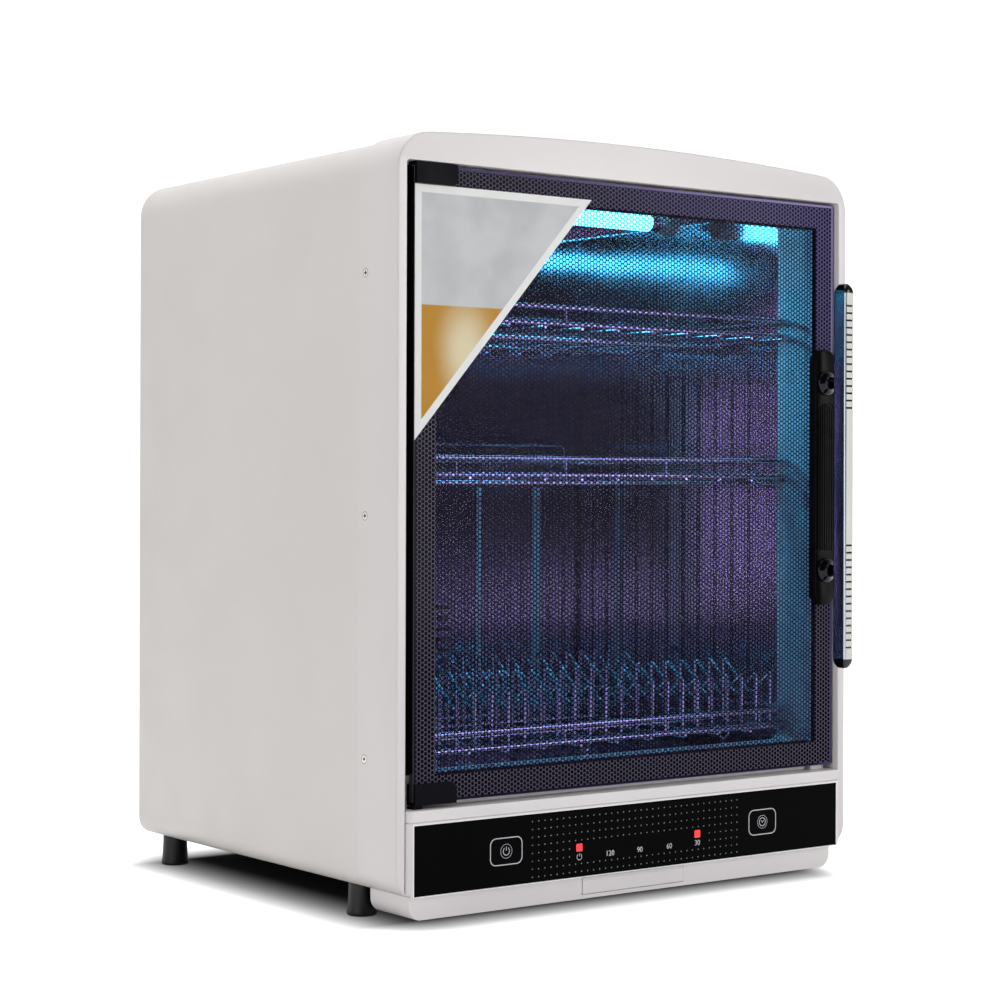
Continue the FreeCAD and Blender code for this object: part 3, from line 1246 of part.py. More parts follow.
def make_fan_parts():
    """Axial fan on the rear panel, the duct to the liner's slots and the heater in the duct."""
    frame = rounded_plate("fan_frame_body", "-fan_half", "fan_half", "fan_height - fan_half",
                          "fan_height + fan_half", None, "fan_front", "fan_depth")
    bore = prism("fan_frame_bore", "y", "fan_bore_sides", "fan_bore", "fan_depth + 2", "0",
                 "fan_front - 1", "fan_height")
    ring = cut("fan_ring", frame, bore)
    hub = rod("fan_motor_plate", "y", "fan_hub", "fan_plate", "0", "motor_back", "fan_height")
    upright = block("fan_strut_upright", "-fan_strut / 2", "motor_back", "fan_height - fan_bore - 1",
                    "fan_strut", "fan_plate", "2 * fan_bore + 2")
    level = block("fan_strut_level", "-fan_bore - 1", "motor_back", "fan_height - fan_strut / 2",
                  "2 * fan_bore + 2", "fan_plate", "fan_strut")
    node("fan_housing", join("fan_housing_joined", ring, hub, upright, level))

    node("fan_motor", rod("motor_can", "y", "motor_radius", "motor_length", "0",
                          "motor_back - motor_length", "fan_height"))
    shape_node("fan_impeller", impeller_shape())

    duct = rounded_plate("duct_body", "-fan_half", "fan_half", "fan_height - fan_half",
                         "fan_height + fan_half", None, "liner_rear",
                         "fan_front - liner_rear")
    cut_through(duct, "duct_inside", "duct_wall - fan_half", "fan_half - duct_wall",
                "fan_height - fan_half + duct_wall", "fan_height + fan_half - duct_wall",
                None, "liner_rear", "fan_front")
    node("air_duct", duct)

    half = "fan_half - duct_wall"
    core = block("heater_block", f"-({half})", "liner_rear + 14", "fan_height - heater_height / 2",
                 f"2 * ({half})", "heater_depth", "heater_height")
    slots = []
    count = int(value("heater_fins"))
    for index in range(count):
        slots.append(block(f"heater_slot_{index}",
                           f"({index} - (heater_fins - 1) / 2) * 12 - 4", "liner_rear + 13",
                           "fan_height - heater_height / 2 + 6", "8", "heater_depth + 2",
                           "heater_height - 12"))
    node("heater", cut("heater_cut", core, *slots))


def blade_section(radius, chord, angle, thickness):
    """The corners of a section across a fan blade, pitched about the radial axis."""
    turn = Rotation(Vector(1, 0, 0), angle)
    halves = ((-thickness, -chord), (thickness, -chord), (thickness, chord), (-thickness, chord))
    return [turn.multVec(Vector(0, y / 2, z / 2)) + Vector(radius, 0, 0) for y, z in halves]


def blade_solid(root, tip):
    """A twisted blade between two sections, each side folded along its diagonal."""
    corners = [root[::-1], tip]
    for index in range(4):
        after = (index + 1) % 4
        corners.append([root[index], root[after], tip[after]])
        corners.append([root[index], tip[after], tip[index]])
    faces = [Part.Face(Part.makePolygon(points + points[:1])) for points in corners]
    return Part.makeSolid(Part.makeShell(faces))


def impeller_shape():
    """Hub and twisted blades, running just in front of the motor."""
    middle = value("blade_middle")
    hub = value("fan_hub")
    tip = value("fan_tip")
    back = Vector(0, 1, 0)
    end = value("motor_back - motor_length - slide_gap")
    front = value("fan_front + 2")
    cup = Part.makeCylinder(hub, end - front, Vector(0, front, 0), back)
    root = blade_section(hub - 1.5, value("blade_root_chord"), value("blade_root_angle"),
                         value("blade_thickness"))
    end = blade_section(tip, value("blade_tip_chord"), value("blade_tip_angle"),
                        value("blade_thickness"))
    blade = blade_solid(root, end)
    blade.translate(Vector(0, middle, 0))
    blades = []
    count = int(value("fan_blades"))
    for index in range(count):
        copy = blade.copy()
        copy.rotate(Vector(), back, 360 * index / count)
        blades.append(copy)
    shape = cup.multiFuse(blades)
    shape.translate(Vector(0, 0, value("fan_height")))
    return shape.Solids[0]


# Electrics on the bottom plate

def make_electrics():
    """Ballast of the lamp and the power board with its parts."""
    can = block("ballast_can", "ballast_left", "ballast_depth", "plate_top", "ballast_length",
                "ballast_width", "ballast_height")
    foot = block("ballast_foot", "ballast_left - 9", "ballast_depth + 4", "plate_top",
                 "ballast_length + 18", "ballast_width - 8", "1.5")
    node("ballast", join("ballast_joined", can, foot))

    board_z = "plate_top + board_standoff"
    pieces = [block("power_board_plate", "board_left", "board_depth", board_z, "board_length",
                    "board_width", "board_thickness")]
    for index, x in enumerate(("board_left + 4", "board_left + board_length - 10")):
        pieces.append(block(f"power_board_rail_{index}", x, "board_depth", "plate_top", "6",
                            "board_width", "board_standoff + 0.5"))
    top = "plate_top + board_standoff + board_thickness - 0.2"
    pieces.append(block("transformer", "board_left + 14", "board_depth + 14", top, "34", "30", "26"))
    pieces.append(block("relay", "board_left + 60", "board_depth + 12", top, "20", "15", "16"))
    pieces.append(rod("capacitor", "z", "6", "22", "board_left + 70", "board_depth + 46", top))
    node("power_board", join("power_board_joined", *pieces))


# Door switch, magnet catch, pivot bushes, screws and cord bushing

def make_switch_and_catch():
    """Door switch behind the flange with its sprung plunger, and the magnet catch before it."""
    flange_back = "recess_depth + frame_wall"
    body = block("switch_block", "switch_x - switch_width / 2", flange_back,
                 "switch_height - switch_tall / 2", "switch_width", "switch_deep", "switch_tall")
    reach = "plunger_half + plunger_slack"
    cavity = block("switch_cavity", f"switch_x - ({reach})", f"{flange_back} - 1",
                   f"switch_height - ({reach})", f"2 * ({reach})", "switch_deep - 1",
                   f"2 * ({reach})")
    node("door_switch", cut("switch_cut", body, cavity))
    node("switch_plunger", block("plunger_block", "switch_x - plunger_half", "plunger_tip",
                                 "switch_height - plunger_half", "2 * plunger_half",
                                 "plunger_length", "2 * plunger_half"))

    catch_front = "door_back + strike_thickness + strike_gap"
    left = "catch_x - catch_width / 2"
    case = block("catch_case", left, catch_front, "housing_top", "catch_width",
                 f"recess_depth - ({catch_front})", "catch_height")
    slot = block("catch_slot", f"{left} + 3", f"{catch_front} - 1", "housing_top + 3",
                 "catch_width - 6", "1.6", "catch_height - 6")
    node("magnet_catch", cut("catch_cut", case, slot))
    node("magnet_strike", block("strike_block", left, "door_back", "door_bottom", "catch_width",
                                "strike_thickness", "housing_top + catch_height - door_bottom"))


def make_bushes():
    """Square plastic bushes of the door's two pivots, each with a round bore."""
    for name, low, tall in (
        ("upper_pivot_bush", "opening_top", "bush_length"),
        ("lower_pivot_bush", "housing_top - bush_length", "bush_length + washer_height"),
    ):
        outside = block(name + "_outside", "hinge_x - bush_half", "pivot_depth - bush_half", low,
                        "2 * bush_half", "2 * bush_half", tall)
        bore = rod(name + "_bore", "z", "pin_radius + shaft_slack", f"{tall} + 2", "hinge_x",
                   "pivot_depth", f"{low} - 1")
        node(name, cut(name + "_cut", outside, bore))


def make_brackets():
    """Strips inside the cabinet's sides that tie the front frame to the casing."""
    inner = "frame_half - frame_wall"
    brackets = []
    for side in ("left", "right"):
        bracket_x = f"-({inner})" if side == "left" else f"{inner} - bracket_sheet"
        brackets.append(block(f"bracket_{side}", bracket_x, "frame_depth - bracket_depth / 2",
                              "bracket_bottom", "bracket_sheet", "bracket_depth",
                              "bracket_height"))
    node("side_brackets", group("side_brackets_group", *brackets))


def make_gland():
    """Bushing of the cord's hole: a collar outside and a stem through the panel, open through."""
    place = ("gland_x", "gland_height")

    def ring(name, radius, start, length):
        return rod(name, "y", radius, length, place[0], start, place[1])

    collar = prism("gland_collar", "y", "gland_sides", "gland_radius",
                   "casing_depth + gland_proud - rear_face", place[0], "rear_face", place[1])
    stem = ring("gland_stem", "gland_bore + 2", "rear_inner - 5", "rear_face - rear_inner + 6")
    bore = ring("gland_through", "gland_bore", "rear_inner - 6", "20")
    node("cord_gland", cut("gland_cut", join("gland_joined", collar, stem), bore))


# Door

def make_door_glass_and_seal():
    """Door glass, the soft seal behind it and the printed film on its face."""
    glass = rounded_plate("door_glass_body", "door_left", "door_right", "door_bottom", "door_top",
                          ("door_corner",) * 4, "door_front", "door_thickness")
    node("door_glass", glass)

    seal = rounded_plate("door_seal_body", "seal_left", "seal_outer_right", "seal_outer_bottom",
                         "seal_outer_top", None, "door_back", "seal_back - door_back")
    cut_through(seal, "door_seal_opening", "seal_inner_left", "seal_inner_right",
                "seal_inner_bottom", "seal_inner_top", None, "door_back", "seal_back")
    tools = []
    notch_width = "clamp_right - door_left + 0.5"
    tools.append(block("seal_notch_low", "door_left", "door_back - 1", "door_bottom - clamp_web",
                       notch_width, "seal_back - door_back + 2", "clamp_web + clamp_lap + 0.5"))
    tools.append(block("seal_notch_high", "door_left", "door_back - 1",
                       "door_top - clamp_lap - 0.5", notch_width, "seal_back - door_back + 2",
                       "clamp_web + clamp_lap + 0.5"))
    node("door_seal", cut("door_seal_cut", seal, *tools))

    label = new_body("label_body")
    outline = new_sketch(label, "XZ_Plane", "label_outline", "label_thickness - door_front")
    draw_outline(outline, (
        ("door_left + 0.3", "label_bottom"),
        ("label_right", "label_top"),
        ("door_left + 0.3", "label_top"),
    ))
    pad(label, outline, "label_pad", "label_thickness", reverse=True)
    node("door_label", label)


def make_hinge_parts():
    """Clamps over the glass's left corners and the pins that turn in the bushes."""
    left, right = "door_left", "clamp_right"
    for name, low, high, inner, outer, slot_low in (
        ("upper_hinge_clamp", "door_top - clamp_lap", "door_top + clamp_web",
         "door_top - clamp_lap", "door_top - clamp_lap + clamp_round", "door_top - clamp_lap - 1"),
        ("lower_hinge_clamp", "door_bottom - clamp_web", "door_bottom + clamp_lap",
         "door_bottom + clamp_lap", "door_bottom + clamp_lap - clamp_round",
         "door_bottom - clamp_fit"),
    ):
        body = new_body(name + "_body")
        outline = new_sketch(body, "XZ_Plane", name + "_outline", "-cheek_front")
        flat = high if inner == low else low
        corners = [(left, flat), (right, flat), (right, outer),
                   (right + " - 0.3 * clamp_round", f"({inner}) * 0.7 + ({outer}) * 0.3"),
                   (right + " - clamp_round", inner), (left, inner)]
        draw_outline(outline, corners)
        pad(body, outline, name + "_pad", "cheek_back - cheek_front", reverse=True)
        slot = block(name + "_slot", "door_left - 1", "door_front - clamp_fit", slot_low,
                     "clamp_width + 2", "door_thickness + 2 * clamp_fit",
                     "clamp_lap + 1 + clamp_fit")
        node(name, cut(name + "_cut", body, slot))
    pins = [
        rod("upper_pin", "z", "pin_radius", "pin_length", "hinge_x", "pivot_depth",
            "door_top + clamp_web"),
        rod("lower_pin", "z", "pin_radius", "pin_length", "hinge_x", "pivot_depth",
            "door_bottom - clamp_web - pin_length"),
    ]
    node("hinge_pins", group("hinge_pins_group", *pins))


def turned_post(height):
    """A handle post: a domed foot that draws in to a round neck, from base plate to bar."""
    foot = value("knob_radius")
    neck = value("neck_radius")
    start = -value("handle_base_proud")
    dome_end = start - value("knob_height")
    rings = []
    for radius, depth in (
        (foot, start), (foot, start - 1.8), (foot - 1.8, start - 3.8), (neck, dome_end),
        (neck, value("bar_back")),
    ):
        ring = ring_of(int(value("post_sides")), radius, Vector())
        ring.rotate(Vector(), Vector(1, 0, 0), 90)
        ring.translate(Vector(value("handle_x"), depth, height))
        rings.append(ring)
    return Part.makeLoft(rings, True, True)


def handle_section(inset, z):
    """The handle bar's cross-section with its corners cut, drawn inside its outline by inset."""
    left = value("bar_left") + inset
    right = value("bar_left + bar_width") - inset
    front = value("bar_front") + inset
    back = value("bar_back") - inset
    corner = min(value("bar_round") * 0.6, (right - left) / 2 - 0.3)
    corners = [
        Vector(left + corner, front, z), Vector(right - corner, front, z),
        Vector(right, front + corner, z), Vector(right, back - corner, z),
        Vector(right - corner, back, z), Vector(left + corner, back, z),
        Vector(left, back - corner, z), Vector(left, front + corner, z),
    ]
    return Part.makePolygon(corners + corners[:1])


def make_handle():
    """Handle: base plate with ribs, two posts, a bar with a light strip and domed caps."""
    left = "handle_x - handle_base_width / 2"
    right = "handle_x + handle_base_width / 2"
    base = rounded_plate("handle_base_body", left, right, "handle_base_bottom", "handle_base_top",
                         ("handle_base_width / 2 - 0.2",) * 4, "-handle_base_proud",
                         "handle_base_proud + door_front")
    tools = []
    middle = "(handle_post_low + handle_post_high) / 2"
    for index in range(int(value("base_ribs"))):
        tools.append(block(f"base_groove_{index}", left, "-handle_base_proud - 1",
                           f"{middle} + ({index} - (base_ribs - 1) / 2) * base_rib_pitch - 0.6",
                           "handle_base_width", "1.6", "1.2"))
    node("handle_base", cut("handle_base_cut", base, *tools))

    posts = [turned_post(value(z)) for z in ("handle_post_low", "handle_post_high")]
    shape_node("handle_posts", Part.makeCompound(posts))

    bar = new_body("handle_bar_body")
    section = new_sketch(bar, "XY_Plane", "bar_section", "bar_bottom + bar_cap")
    draw_rounded(section, "bar_left", "bar_left + bar_width", "bar_front", "bar_back",
                 ("bar_round",) * 4)
    pad(bar, section, "bar_pad", "bar_top - bar_bottom - 2 * bar_cap")
    strip_low = "bar_bottom + grip_inset"
    strip_tall = "bar_top - bar_bottom - 2 * grip_inset"
    groove = block("bar_groove", "handle_x - inlay_width / 2 - 0.05", "bar_front - 1",
                   f"{strip_low} - 0.05", "inlay_width + 0.1", "inlay_thickness + 1",
                   f"{strip_tall} + 0.1")
    node("handle_bar", cut("handle_bar_cut", bar, groove))

    strip = block("inlay_strip", "handle_x - inlay_width / 2", "bar_front", strip_low,
                  "inlay_width", "inlay_thickness", strip_tall)
    slots = []
    for index in range(int(value("grip_count"))):
        for side, z in (("low", f"{strip_low} + 4 + {index} * grip_pitch"),
                        ("high", f"{strip_low} + {strip_tall} - 4 - grip_height"
                                 f" - {index} * grip_pitch")):
            slots.append(block(f"grip_slot_{side}_{index}", "handle_x - inlay_width / 2 - 1",
                               "bar_front - 1", z, "inlay_width + 2", "inlay_thickness * 0.6 + 1",
                               "grip_height"))
    node("handle_inlay", cut("handle_inlay_cut", strip, *slots))

    cap = value("bar_cap")
    caps = []
    for z, way in ((value("bar_top - bar_cap"), 1), (value("bar_bottom + bar_cap"), -1)):
        sections = [handle_section(inset, z + way * cap * share)
                    for inset, share in ((0, 0), (0.9, 0.5), (3.6, 1))]
        caps.append(Part.makeLoft(sections, True, True))
    shape_node("handle_caps", Part.makeCompound(caps))


for build in (
    make_front_frame,
    make_control_housing,
    make_control_parts,
    make_outer_casing,
    make_rear_panel,
    make_bottom_parts,
    make_liner,
    make_liner_supports,
    make_rack_rails,
    make_racks,
    make_lamp_parts,
    make_fan_parts,
    make_electrics,
    make_switch_and_catch,
    make_bushes,
    make_brackets,
    make_gland,
    make_door_glass_and_seal,
    make_hinge_parts,
    make_handle,
):
    build()
    doc.recompute()

# Every object is sound before anything is written
faults = [f"{obj.Name} ({obj.Label})" for obj in doc.Objects
          if "Invalid" in obj.State or "Error" in obj.State]
if faults:
    raise RuntimeError("objects that did not compute: " + ", ".join(faults))
for name, obj in nodes.items():
    if obj.Shape.isNull() or not obj.Shape.isValid() or not obj.Shape.Solids:
        raise RuntimeError("no valid solid in " + name)
for name, obj in nodes.items():
    obj.Shape.exportStep(f"parts/{name}.step")
print(len(nodes), "sub-parts written")
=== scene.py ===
# Dish dryer cabinet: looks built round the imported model. Lengths are written in millimetres, with
# depths measured back from the front plane. P() and Y() turn them into metres in the model's frame.
import math

import bmesh
import bpy
from mathutils import Matrix, Vector
from mathutils.geometry import tessellate_polygon


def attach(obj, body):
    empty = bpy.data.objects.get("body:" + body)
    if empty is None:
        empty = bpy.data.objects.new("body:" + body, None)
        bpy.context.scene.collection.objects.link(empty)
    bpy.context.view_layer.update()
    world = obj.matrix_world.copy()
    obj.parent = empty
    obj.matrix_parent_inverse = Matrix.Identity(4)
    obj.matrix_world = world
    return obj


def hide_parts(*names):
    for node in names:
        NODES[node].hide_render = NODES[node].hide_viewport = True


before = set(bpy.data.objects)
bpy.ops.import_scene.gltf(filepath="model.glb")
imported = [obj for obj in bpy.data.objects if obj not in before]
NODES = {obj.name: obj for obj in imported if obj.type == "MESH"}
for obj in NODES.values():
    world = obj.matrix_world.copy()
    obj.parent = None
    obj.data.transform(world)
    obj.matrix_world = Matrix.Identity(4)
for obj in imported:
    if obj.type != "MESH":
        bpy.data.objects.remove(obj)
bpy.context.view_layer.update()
FRONT_Y = -190.95


def Y(d):
    """The model's y in metres at a depth behind the front plane, in millimetres."""
    return (d + FRONT_Y) / 1000


def P(x, d, z):
    """A point in metres from x, depth behind the front plane and height, in millimetres."""
    return Vector((x / 1000, Y(d), z / 1000))


def srgb(red, green, blue):
    """A linear colour from 8-bit sRGB values."""
    out = []
    for value in (red, green, blue):
        c = value / 255
        out.append(c / 12.92 if c <= 0.04045 else ((c + 0.055) / 1.055) ** 2.4)
    return (*out, 1.0)


# Materials


class Graph:
    """The node tree of a material or of the world, with short calls for its nodes."""

    def __init__(self, name, world=False):
        self.owner = (bpy.data.worlds if world else bpy.data.materials).new(name)
        self.owner.use_nodes = True
        self.tree = self.owner.node_tree
        self.tree.nodes.clear()
        self.output = self.node("ShaderNodeOutputWorld" if world else "ShaderNodeOutputMaterial")
        self.place = self.node("ShaderNodeTexCoord").outputs["Generated" if world else "Object"]

    def node(self, kind, **settings):
        made = self.tree.nodes.new(kind)
        for key, value in settings.items():
            setattr(made, key, value)
        return made

    def feed(self, socket, value):
        if isinstance(value, bpy.types.NodeSocket):
            self.tree.links.new(value, socket)
        else:
            socket.default_value = value

    def math(self, kind, first, *others, clamp=False):
        """One math node, or one for each further value of a sum, a product or a maximum."""
        if len(others) > 1 and kind in ("ADD", "MULTIPLY", "MAXIMUM"):
            for other in others:
                first = self.math(kind, first, other, clamp=clamp)
            return first
        made = self.node("ShaderNodeMath", operation=kind, use_clamp=clamp)
        for index, value in enumerate((first, *others)):
            self.feed(made.inputs[index], value)
        return made.outputs[0]

    def times(self, *values):
        return self.math("MULTIPLY", *values)

    def gap(self, value, middle):
        """How far a value is from a middle one."""
        return self.math("ABSOLUTE", self.math("SUBTRACT", value, middle))

    def distance(self, a, b):
        squares = (self.math("POWER", value, 2.0) for value in (a, b))
        return self.math("SQRT", self.math("ADD", *squares))

    def band(self, value, low, high, soft):
        """1 between two values, 0 outside them."""
        return self.times(self.ramp(value, low - soft, low + soft),
                          self.ramp(value, high - soft, high + soft, 1.0, 0.0))

    def xyz(self):
        split = self.node("ShaderNodeSeparateXYZ")
        self.feed(split.inputs[0], self.place)
        return split.outputs

    def stretched(self, x, y, z):
        mapping = self.node("ShaderNodeMapping")
        self.feed(mapping.inputs["Vector"], self.place)
        mapping.inputs["Scale"].default_value = (x, y, z)
        return mapping.outputs[0]

    def noise(self, scale, detail=2.0, where=None, rough=0.5):
        made = self.node("ShaderNodeTexNoise")
        self.feed(made.inputs["Vector"], where or self.place)
        made.inputs["Scale"].default_value = scale
        made.inputs["Detail"].default_value = detail
        made.inputs["Roughness"].default_value = rough
        return made.outputs["Fac"]

    def ramp(self, value, low, high, to_low=0.0, to_high=1.0, smooth=True):
        made = self.node("ShaderNodeMapRange")
        made.interpolation_type = "SMOOTHSTEP" if smooth else "LINEAR"
        self.feed(made.inputs["Value"], value)
        for index, number in zip((1, 2, 3, 4), (low, high, to_low, to_high)):
            made.inputs[index].default_value = number
        return made.outputs[0]

    def mix(self, share, first, second):
        made = self.node("ShaderNodeMix", data_type="RGBA")
        self.feed(made.inputs["Factor"], share)
        self.feed(made.inputs[6], first)
        self.feed(made.inputs[7], second)
        return made.outputs[2]

    def bump(self, height, distance, onto=None):
        made = self.node("ShaderNodeBump")
        made.inputs["Strength"].default_value = 1.0
        made.inputs["Distance"].default_value = distance
        self.feed(made.inputs["Height"], height)
        if onto is not None:
            self.feed(made.inputs["Normal"], onto)
        return made.outputs[0]

    def principled(self, **values):
        made = self.node("ShaderNodeBsdfPrincipled")
        for key, value in values.items():
            self.feed(made.inputs[key.replace("_", " ")], value)
        return made.outputs[0]

    def blend(self, share, first, second):
        made = self.node("ShaderNodeMixShader")
        for index, value in enumerate((share, first, second)):
            self.feed(made.inputs[index], value)
        return made.outputs[0]

    def finish(self, shader):
        self.feed(self.output.inputs["Surface"], shader)
        return self.owner


def painted(name, colour, shade, rough, scale=900.0, depth=0.00002, shine=0.5):
    """Paint or moulded plastic: slight clouding, fine grain and uneven gloss."""
    g = Graph(name)
    cloud = g.ramp(g.noise(9.0, 3.0), 0.35, 0.65)
    gloss = g.ramp(g.noise(40.0, 3.0), 0.3, 0.7, rough - 0.04, rough + 0.05)
    return g.finish(g.principled(Base_Color=g.mix(cloud, srgb(*colour), srgb(*shade)), Roughness=gloss,
                                 Normal=g.bump(g.noise(scale), depth), Specular_IOR_Level=shine))


def metal(name, colour, shade, rough, grain=0.00001, stretch=1.0, wave=0.0):
    """Bare metal with grain, drawn out upwards where stretch is under 1, and waves in the sheet."""
    g = Graph(name)
    where = g.stretched(1, 1, stretch)
    lines = g.noise(700.0, 3.0, where, 0.6)
    base = g.mix(g.ramp(lines, 0.3, 0.7), srgb(*colour), srgb(*shade))
    gloss = g.ramp(g.noise(60.0, 2.0, where), 0.3, 0.7, rough - 0.03, rough + 0.05)
    normal = g.bump(lines, grain)
    if wave:
        normal = g.bump(g.noise(3.2, 1.0), wave, normal)
    return g.finish(g.principled(Base_Color=base, Metallic=1.0, Roughness=gloss, Normal=normal))


GROOVE_FIRST, GROOVE_HALF_PITCH, GROOVE_LOW, GROOVE_HIGH = 92.0, 0.011, 0.14, 0.44
STRIPS, STRIP_TOP = ((0.086, 0.0022), (0.1545, 0.0045)), 0.333
LINER_SIDE, LINER_BACK = 0.2055, 333.0


def steel_material():
    """The liner's steel: brushed, with pressed grooves in the sides drawn darker with painted shade, and
    two strips on the back.
    """
    g = Graph("stainless")
    x, y, z = g.xyz()
    lines = g.noise(700.0, 3.0, g.stretched(1, 1, 0.03), 0.6)
    base = g.mix(g.ramp(lines, 0.3, 0.7), srgb(206, 202, 208), srgb(188, 184, 192))
    side = g.ramp(g.math("ABSOLUTE", x), LINER_SIDE - 0.0095, LINER_SIDE)
    first = Y(GROOVE_FIRST)
    near = g.math("PINGPONG", g.math("SUBTRACT", y, first), GROOVE_HALF_PITCH)
    groove = g.times(g.ramp(near, 0.0012, 0.0026, 1.0, 0.0), side,
                     g.band(z, GROOVE_LOW, GROOVE_HIGH, 0.01), g.ramp(y, first - 0.003, first - 0.002))
    # the grooves are drawn darker: painted shade in them
    base = g.mix(g.times(groove, 0.75), base, srgb(96, 92, 106))
    strip = g.math("ADD", *(g.ramp(g.gap(x, middle), half, half + 0.0008, 1.0, 0.0)
                            for middle, half in STRIPS))
    strip = g.times(strip, g.ramp(y, Y(LINER_BACK - 3.0), Y(LINER_BACK)),
                    g.ramp(z, STRIP_TOP, STRIP_TOP + 0.003, 1.0, 0.0))
    bare = g.math("SUBTRACT", 1.0, g.times(strip, 0.9))
    gloss = g.math("ADD", g.ramp(side, 0.0, 1.0, 0.08, 0.11),
                   g.ramp(g.noise(60.0), 0.3, 0.7, 0.0, 0.03))
    normal = g.bump(g.noise(3.2, 1.0), 0.006, g.bump(g.math("SUBTRACT", strip, groove), 0.0005))
    return g.finish(g.principled(Base_Color=base, Metallic=bare, Roughness=gloss, Normal=normal))


SCREW_DEPTH, SCREW_FIRST, SCREW_PITCH, SCREW_HEAD = 43.5, 0.1273, 0.18535, 0.0030


def frame_material():
    """The frame's plastic. Three screws lie flush in each of its sides."""
    g = Graph("frame_plastic")
    x, y, z = g.xyz()
    base = g.mix(g.ramp(g.noise(9.0), 0.35, 0.65), srgb(229, 223, 222), srgb(227, 221, 220))
    grain = g.noise(1100.0)
    # the three places of the screws are folded onto one
    across = g.gap(y, Y(SCREW_DEPTH))
    fold = g.math("MODULO", g.math("SUBTRACT", z, SCREW_FIRST - SCREW_PITCH / 2), SCREW_PITCH)
    along = g.gap(fold, SCREW_PITCH / 2)
    far = g.distance(across, along)
    side = g.math("GREATER_THAN", g.math("ABSOLUTE", x), 0.2346)
    ring = g.times(g.ramp(far, SCREW_HEAD + 0.0004, SCREW_HEAD + 0.0009, 1.0, 0.0), side)
    head = g.times(g.ramp(far, SCREW_HEAD - 0.0003, SCREW_HEAD, 1.0, 0.0), side)
    cross = g.times(g.ramp(g.math("MINIMUM", across, along), 0.0005, 0.0007, 1.0, 0.0),
                    g.ramp(far, 0.0017, 0.0019, 1.0, 0.0), head)
    # the ring round each head and the cross in it are drawn dark: painted shade in the gap and the
    # recess
    base = g.mix(ring, base, srgb(160, 150, 147))
    base = g.mix(head, base, srgb(222, 216, 213))
    base = g.mix(cross, base, srgb(52, 44, 42))
    dome = g.times(head, g.ramp(far, 0.0, SCREW_HEAD + 0.0004, 1.0, 0.3))
    normal = g.bump(g.math("SUBTRACT", dome, cross), 0.0004, g.bump(grain, 0.000008))
    return g.finish(g.principled(Base_Color=base, Metallic=head, Normal=normal,
                                 Roughness=g.ramp(grain, 0.3, 0.7, 0.32, 0.38)))


FRAME = frame_material()
CASING = painted("casing_paint", (226, 221, 217), (224, 219, 215), 0.42, 1400.0, 0.000012)
HOUSING = painted("housing_plastic", (230, 225, 225), (228, 223, 223), 0.36, 1100.0, 0.000008)
SCREEN = painted("panel_black", (5, 5, 6), (4, 4, 5), 0.12, 300.0, 0.0000005, 0.015)
RUBBER = painted("foot_rubber", (13, 13, 14), (9, 9, 10), 0.42, 1500.0, 0.00004, 0.3)
BLACK = painted("black_plastic", (22, 22, 24), (16, 16, 18), 0.45, 1500.0, 0.00003, 0.3)
HANDLE = painted("handle_black", (14, 13, 15), (11, 10, 12), 0.3, 500.0, 0.000002, 0.06)
GLOSS_BLACK = painted("cap_black", (5, 5, 6), (7, 7, 8), 0.1, 300.0, 0.000001, 0.4)
CLAMP = painted("clamp_black", (10, 8, 17), (7, 5, 12), 0.34, 900.0, 0.00001, 0.03)
WHITE = painted("white_plastic", (220, 219, 214), (214, 213, 208), 0.4, 1200.0, 0.00002)
BOARD = painted("board_green", (20, 86, 44), (14, 70, 36), 0.35, 400.0, 0.00002)
# a white line round the panel glass: a painted highlight on its edge
PANEL_EDGE_HIGHLIGHT = painted("painted_edge_highlight", (250, 249, 248), (246, 245, 244), 0.3, 900.0, 0.000004)
ZINC = metal("zinc_steel", (176, 178, 180), (160, 162, 165), 0.34, 0.00002)
STEEL = steel_material()
CHROME = metal("wire_chrome", (224, 224, 230), (210, 211, 219), 0.15, 0.000002)
DARK_CHROME = metal("knob_chrome", (40, 40, 45), (30, 30, 35), 0.12, 0.000002)
BAR = metal("bar_metal", (176, 184, 190), (160, 168, 175), 0.16, 0.000001, 0.05)
MIRROR = metal("mirror_alu", (222, 223, 228), (212, 213, 219), 0.12, wave=0.0008)


def glow(name, colour, strength, body):
    """A lit lens or tube: a glossy skin over its own light."""
    g = Graph(name)
    soft = g.ramp(g.noise(30.0), 0.2, 0.8, strength * 0.92, strength * 1.04)
    return g.finish(g.principled(Base_Color=body, Roughness=0.15, Emission_Color=colour,
                                 Emission_Strength=soft))


LAMP = glow("lamp_glass", (0.085, 0.9, 1.0, 1.0), 15.0, srgb(225, 245, 250))
LIGHT_RED = glow("light_red", (1.0, 0.012, 0.012, 1.0), 1.0, srgb(150, 8, 8))


# The net printed on the door: columns of six-sided cells with a flat top
CELL_TALL, CELL_STEP = 0.00364, 0.00315
WINDOW_LINE, BORDER_LINE = 0.0010, 0.00058
DOOR_LEFT, DOOR_RIGHT, DOOR_LOW, DOOR_HIGH = -216.3, 224.5, 95.5, 579.0
NET_MARGIN, BORDER, GLASS_IOR = 2.2, 20.5, 1.08


def cell_edge(g, x, z):
    """How far a point lies from the middle of its cell towards the cell's edge, in metres."""
    ways = []
    for shift in (0.0, 1.0):
        a, b = (g.math("ABSOLUTE", g.math("WRAP", g.math("ADD", value, half * shift), half, -half))
                for value, half in ((x, CELL_STEP), (z, CELL_TALL / 2)))
        lean = g.math("ADD", g.times(a, math.sqrt(0.75)), g.times(b, 0.5))
        ways.append(g.math("MAXIMUM", b, lean))
    return g.math("MINIMUM", *ways)


def inside(g, x, z, margin, soft=0.0002):
    """1 within the door glass less a margin, 0 outside."""
    sides = ((x, DOOR_LEFT, DOOR_RIGHT), (z, DOOR_LOW, DOOR_HIGH))
    return g.times(*(g.band(value, (low + margin) / 1000, (high - margin) / 1000, soft)
                     for value, low, high in sides))


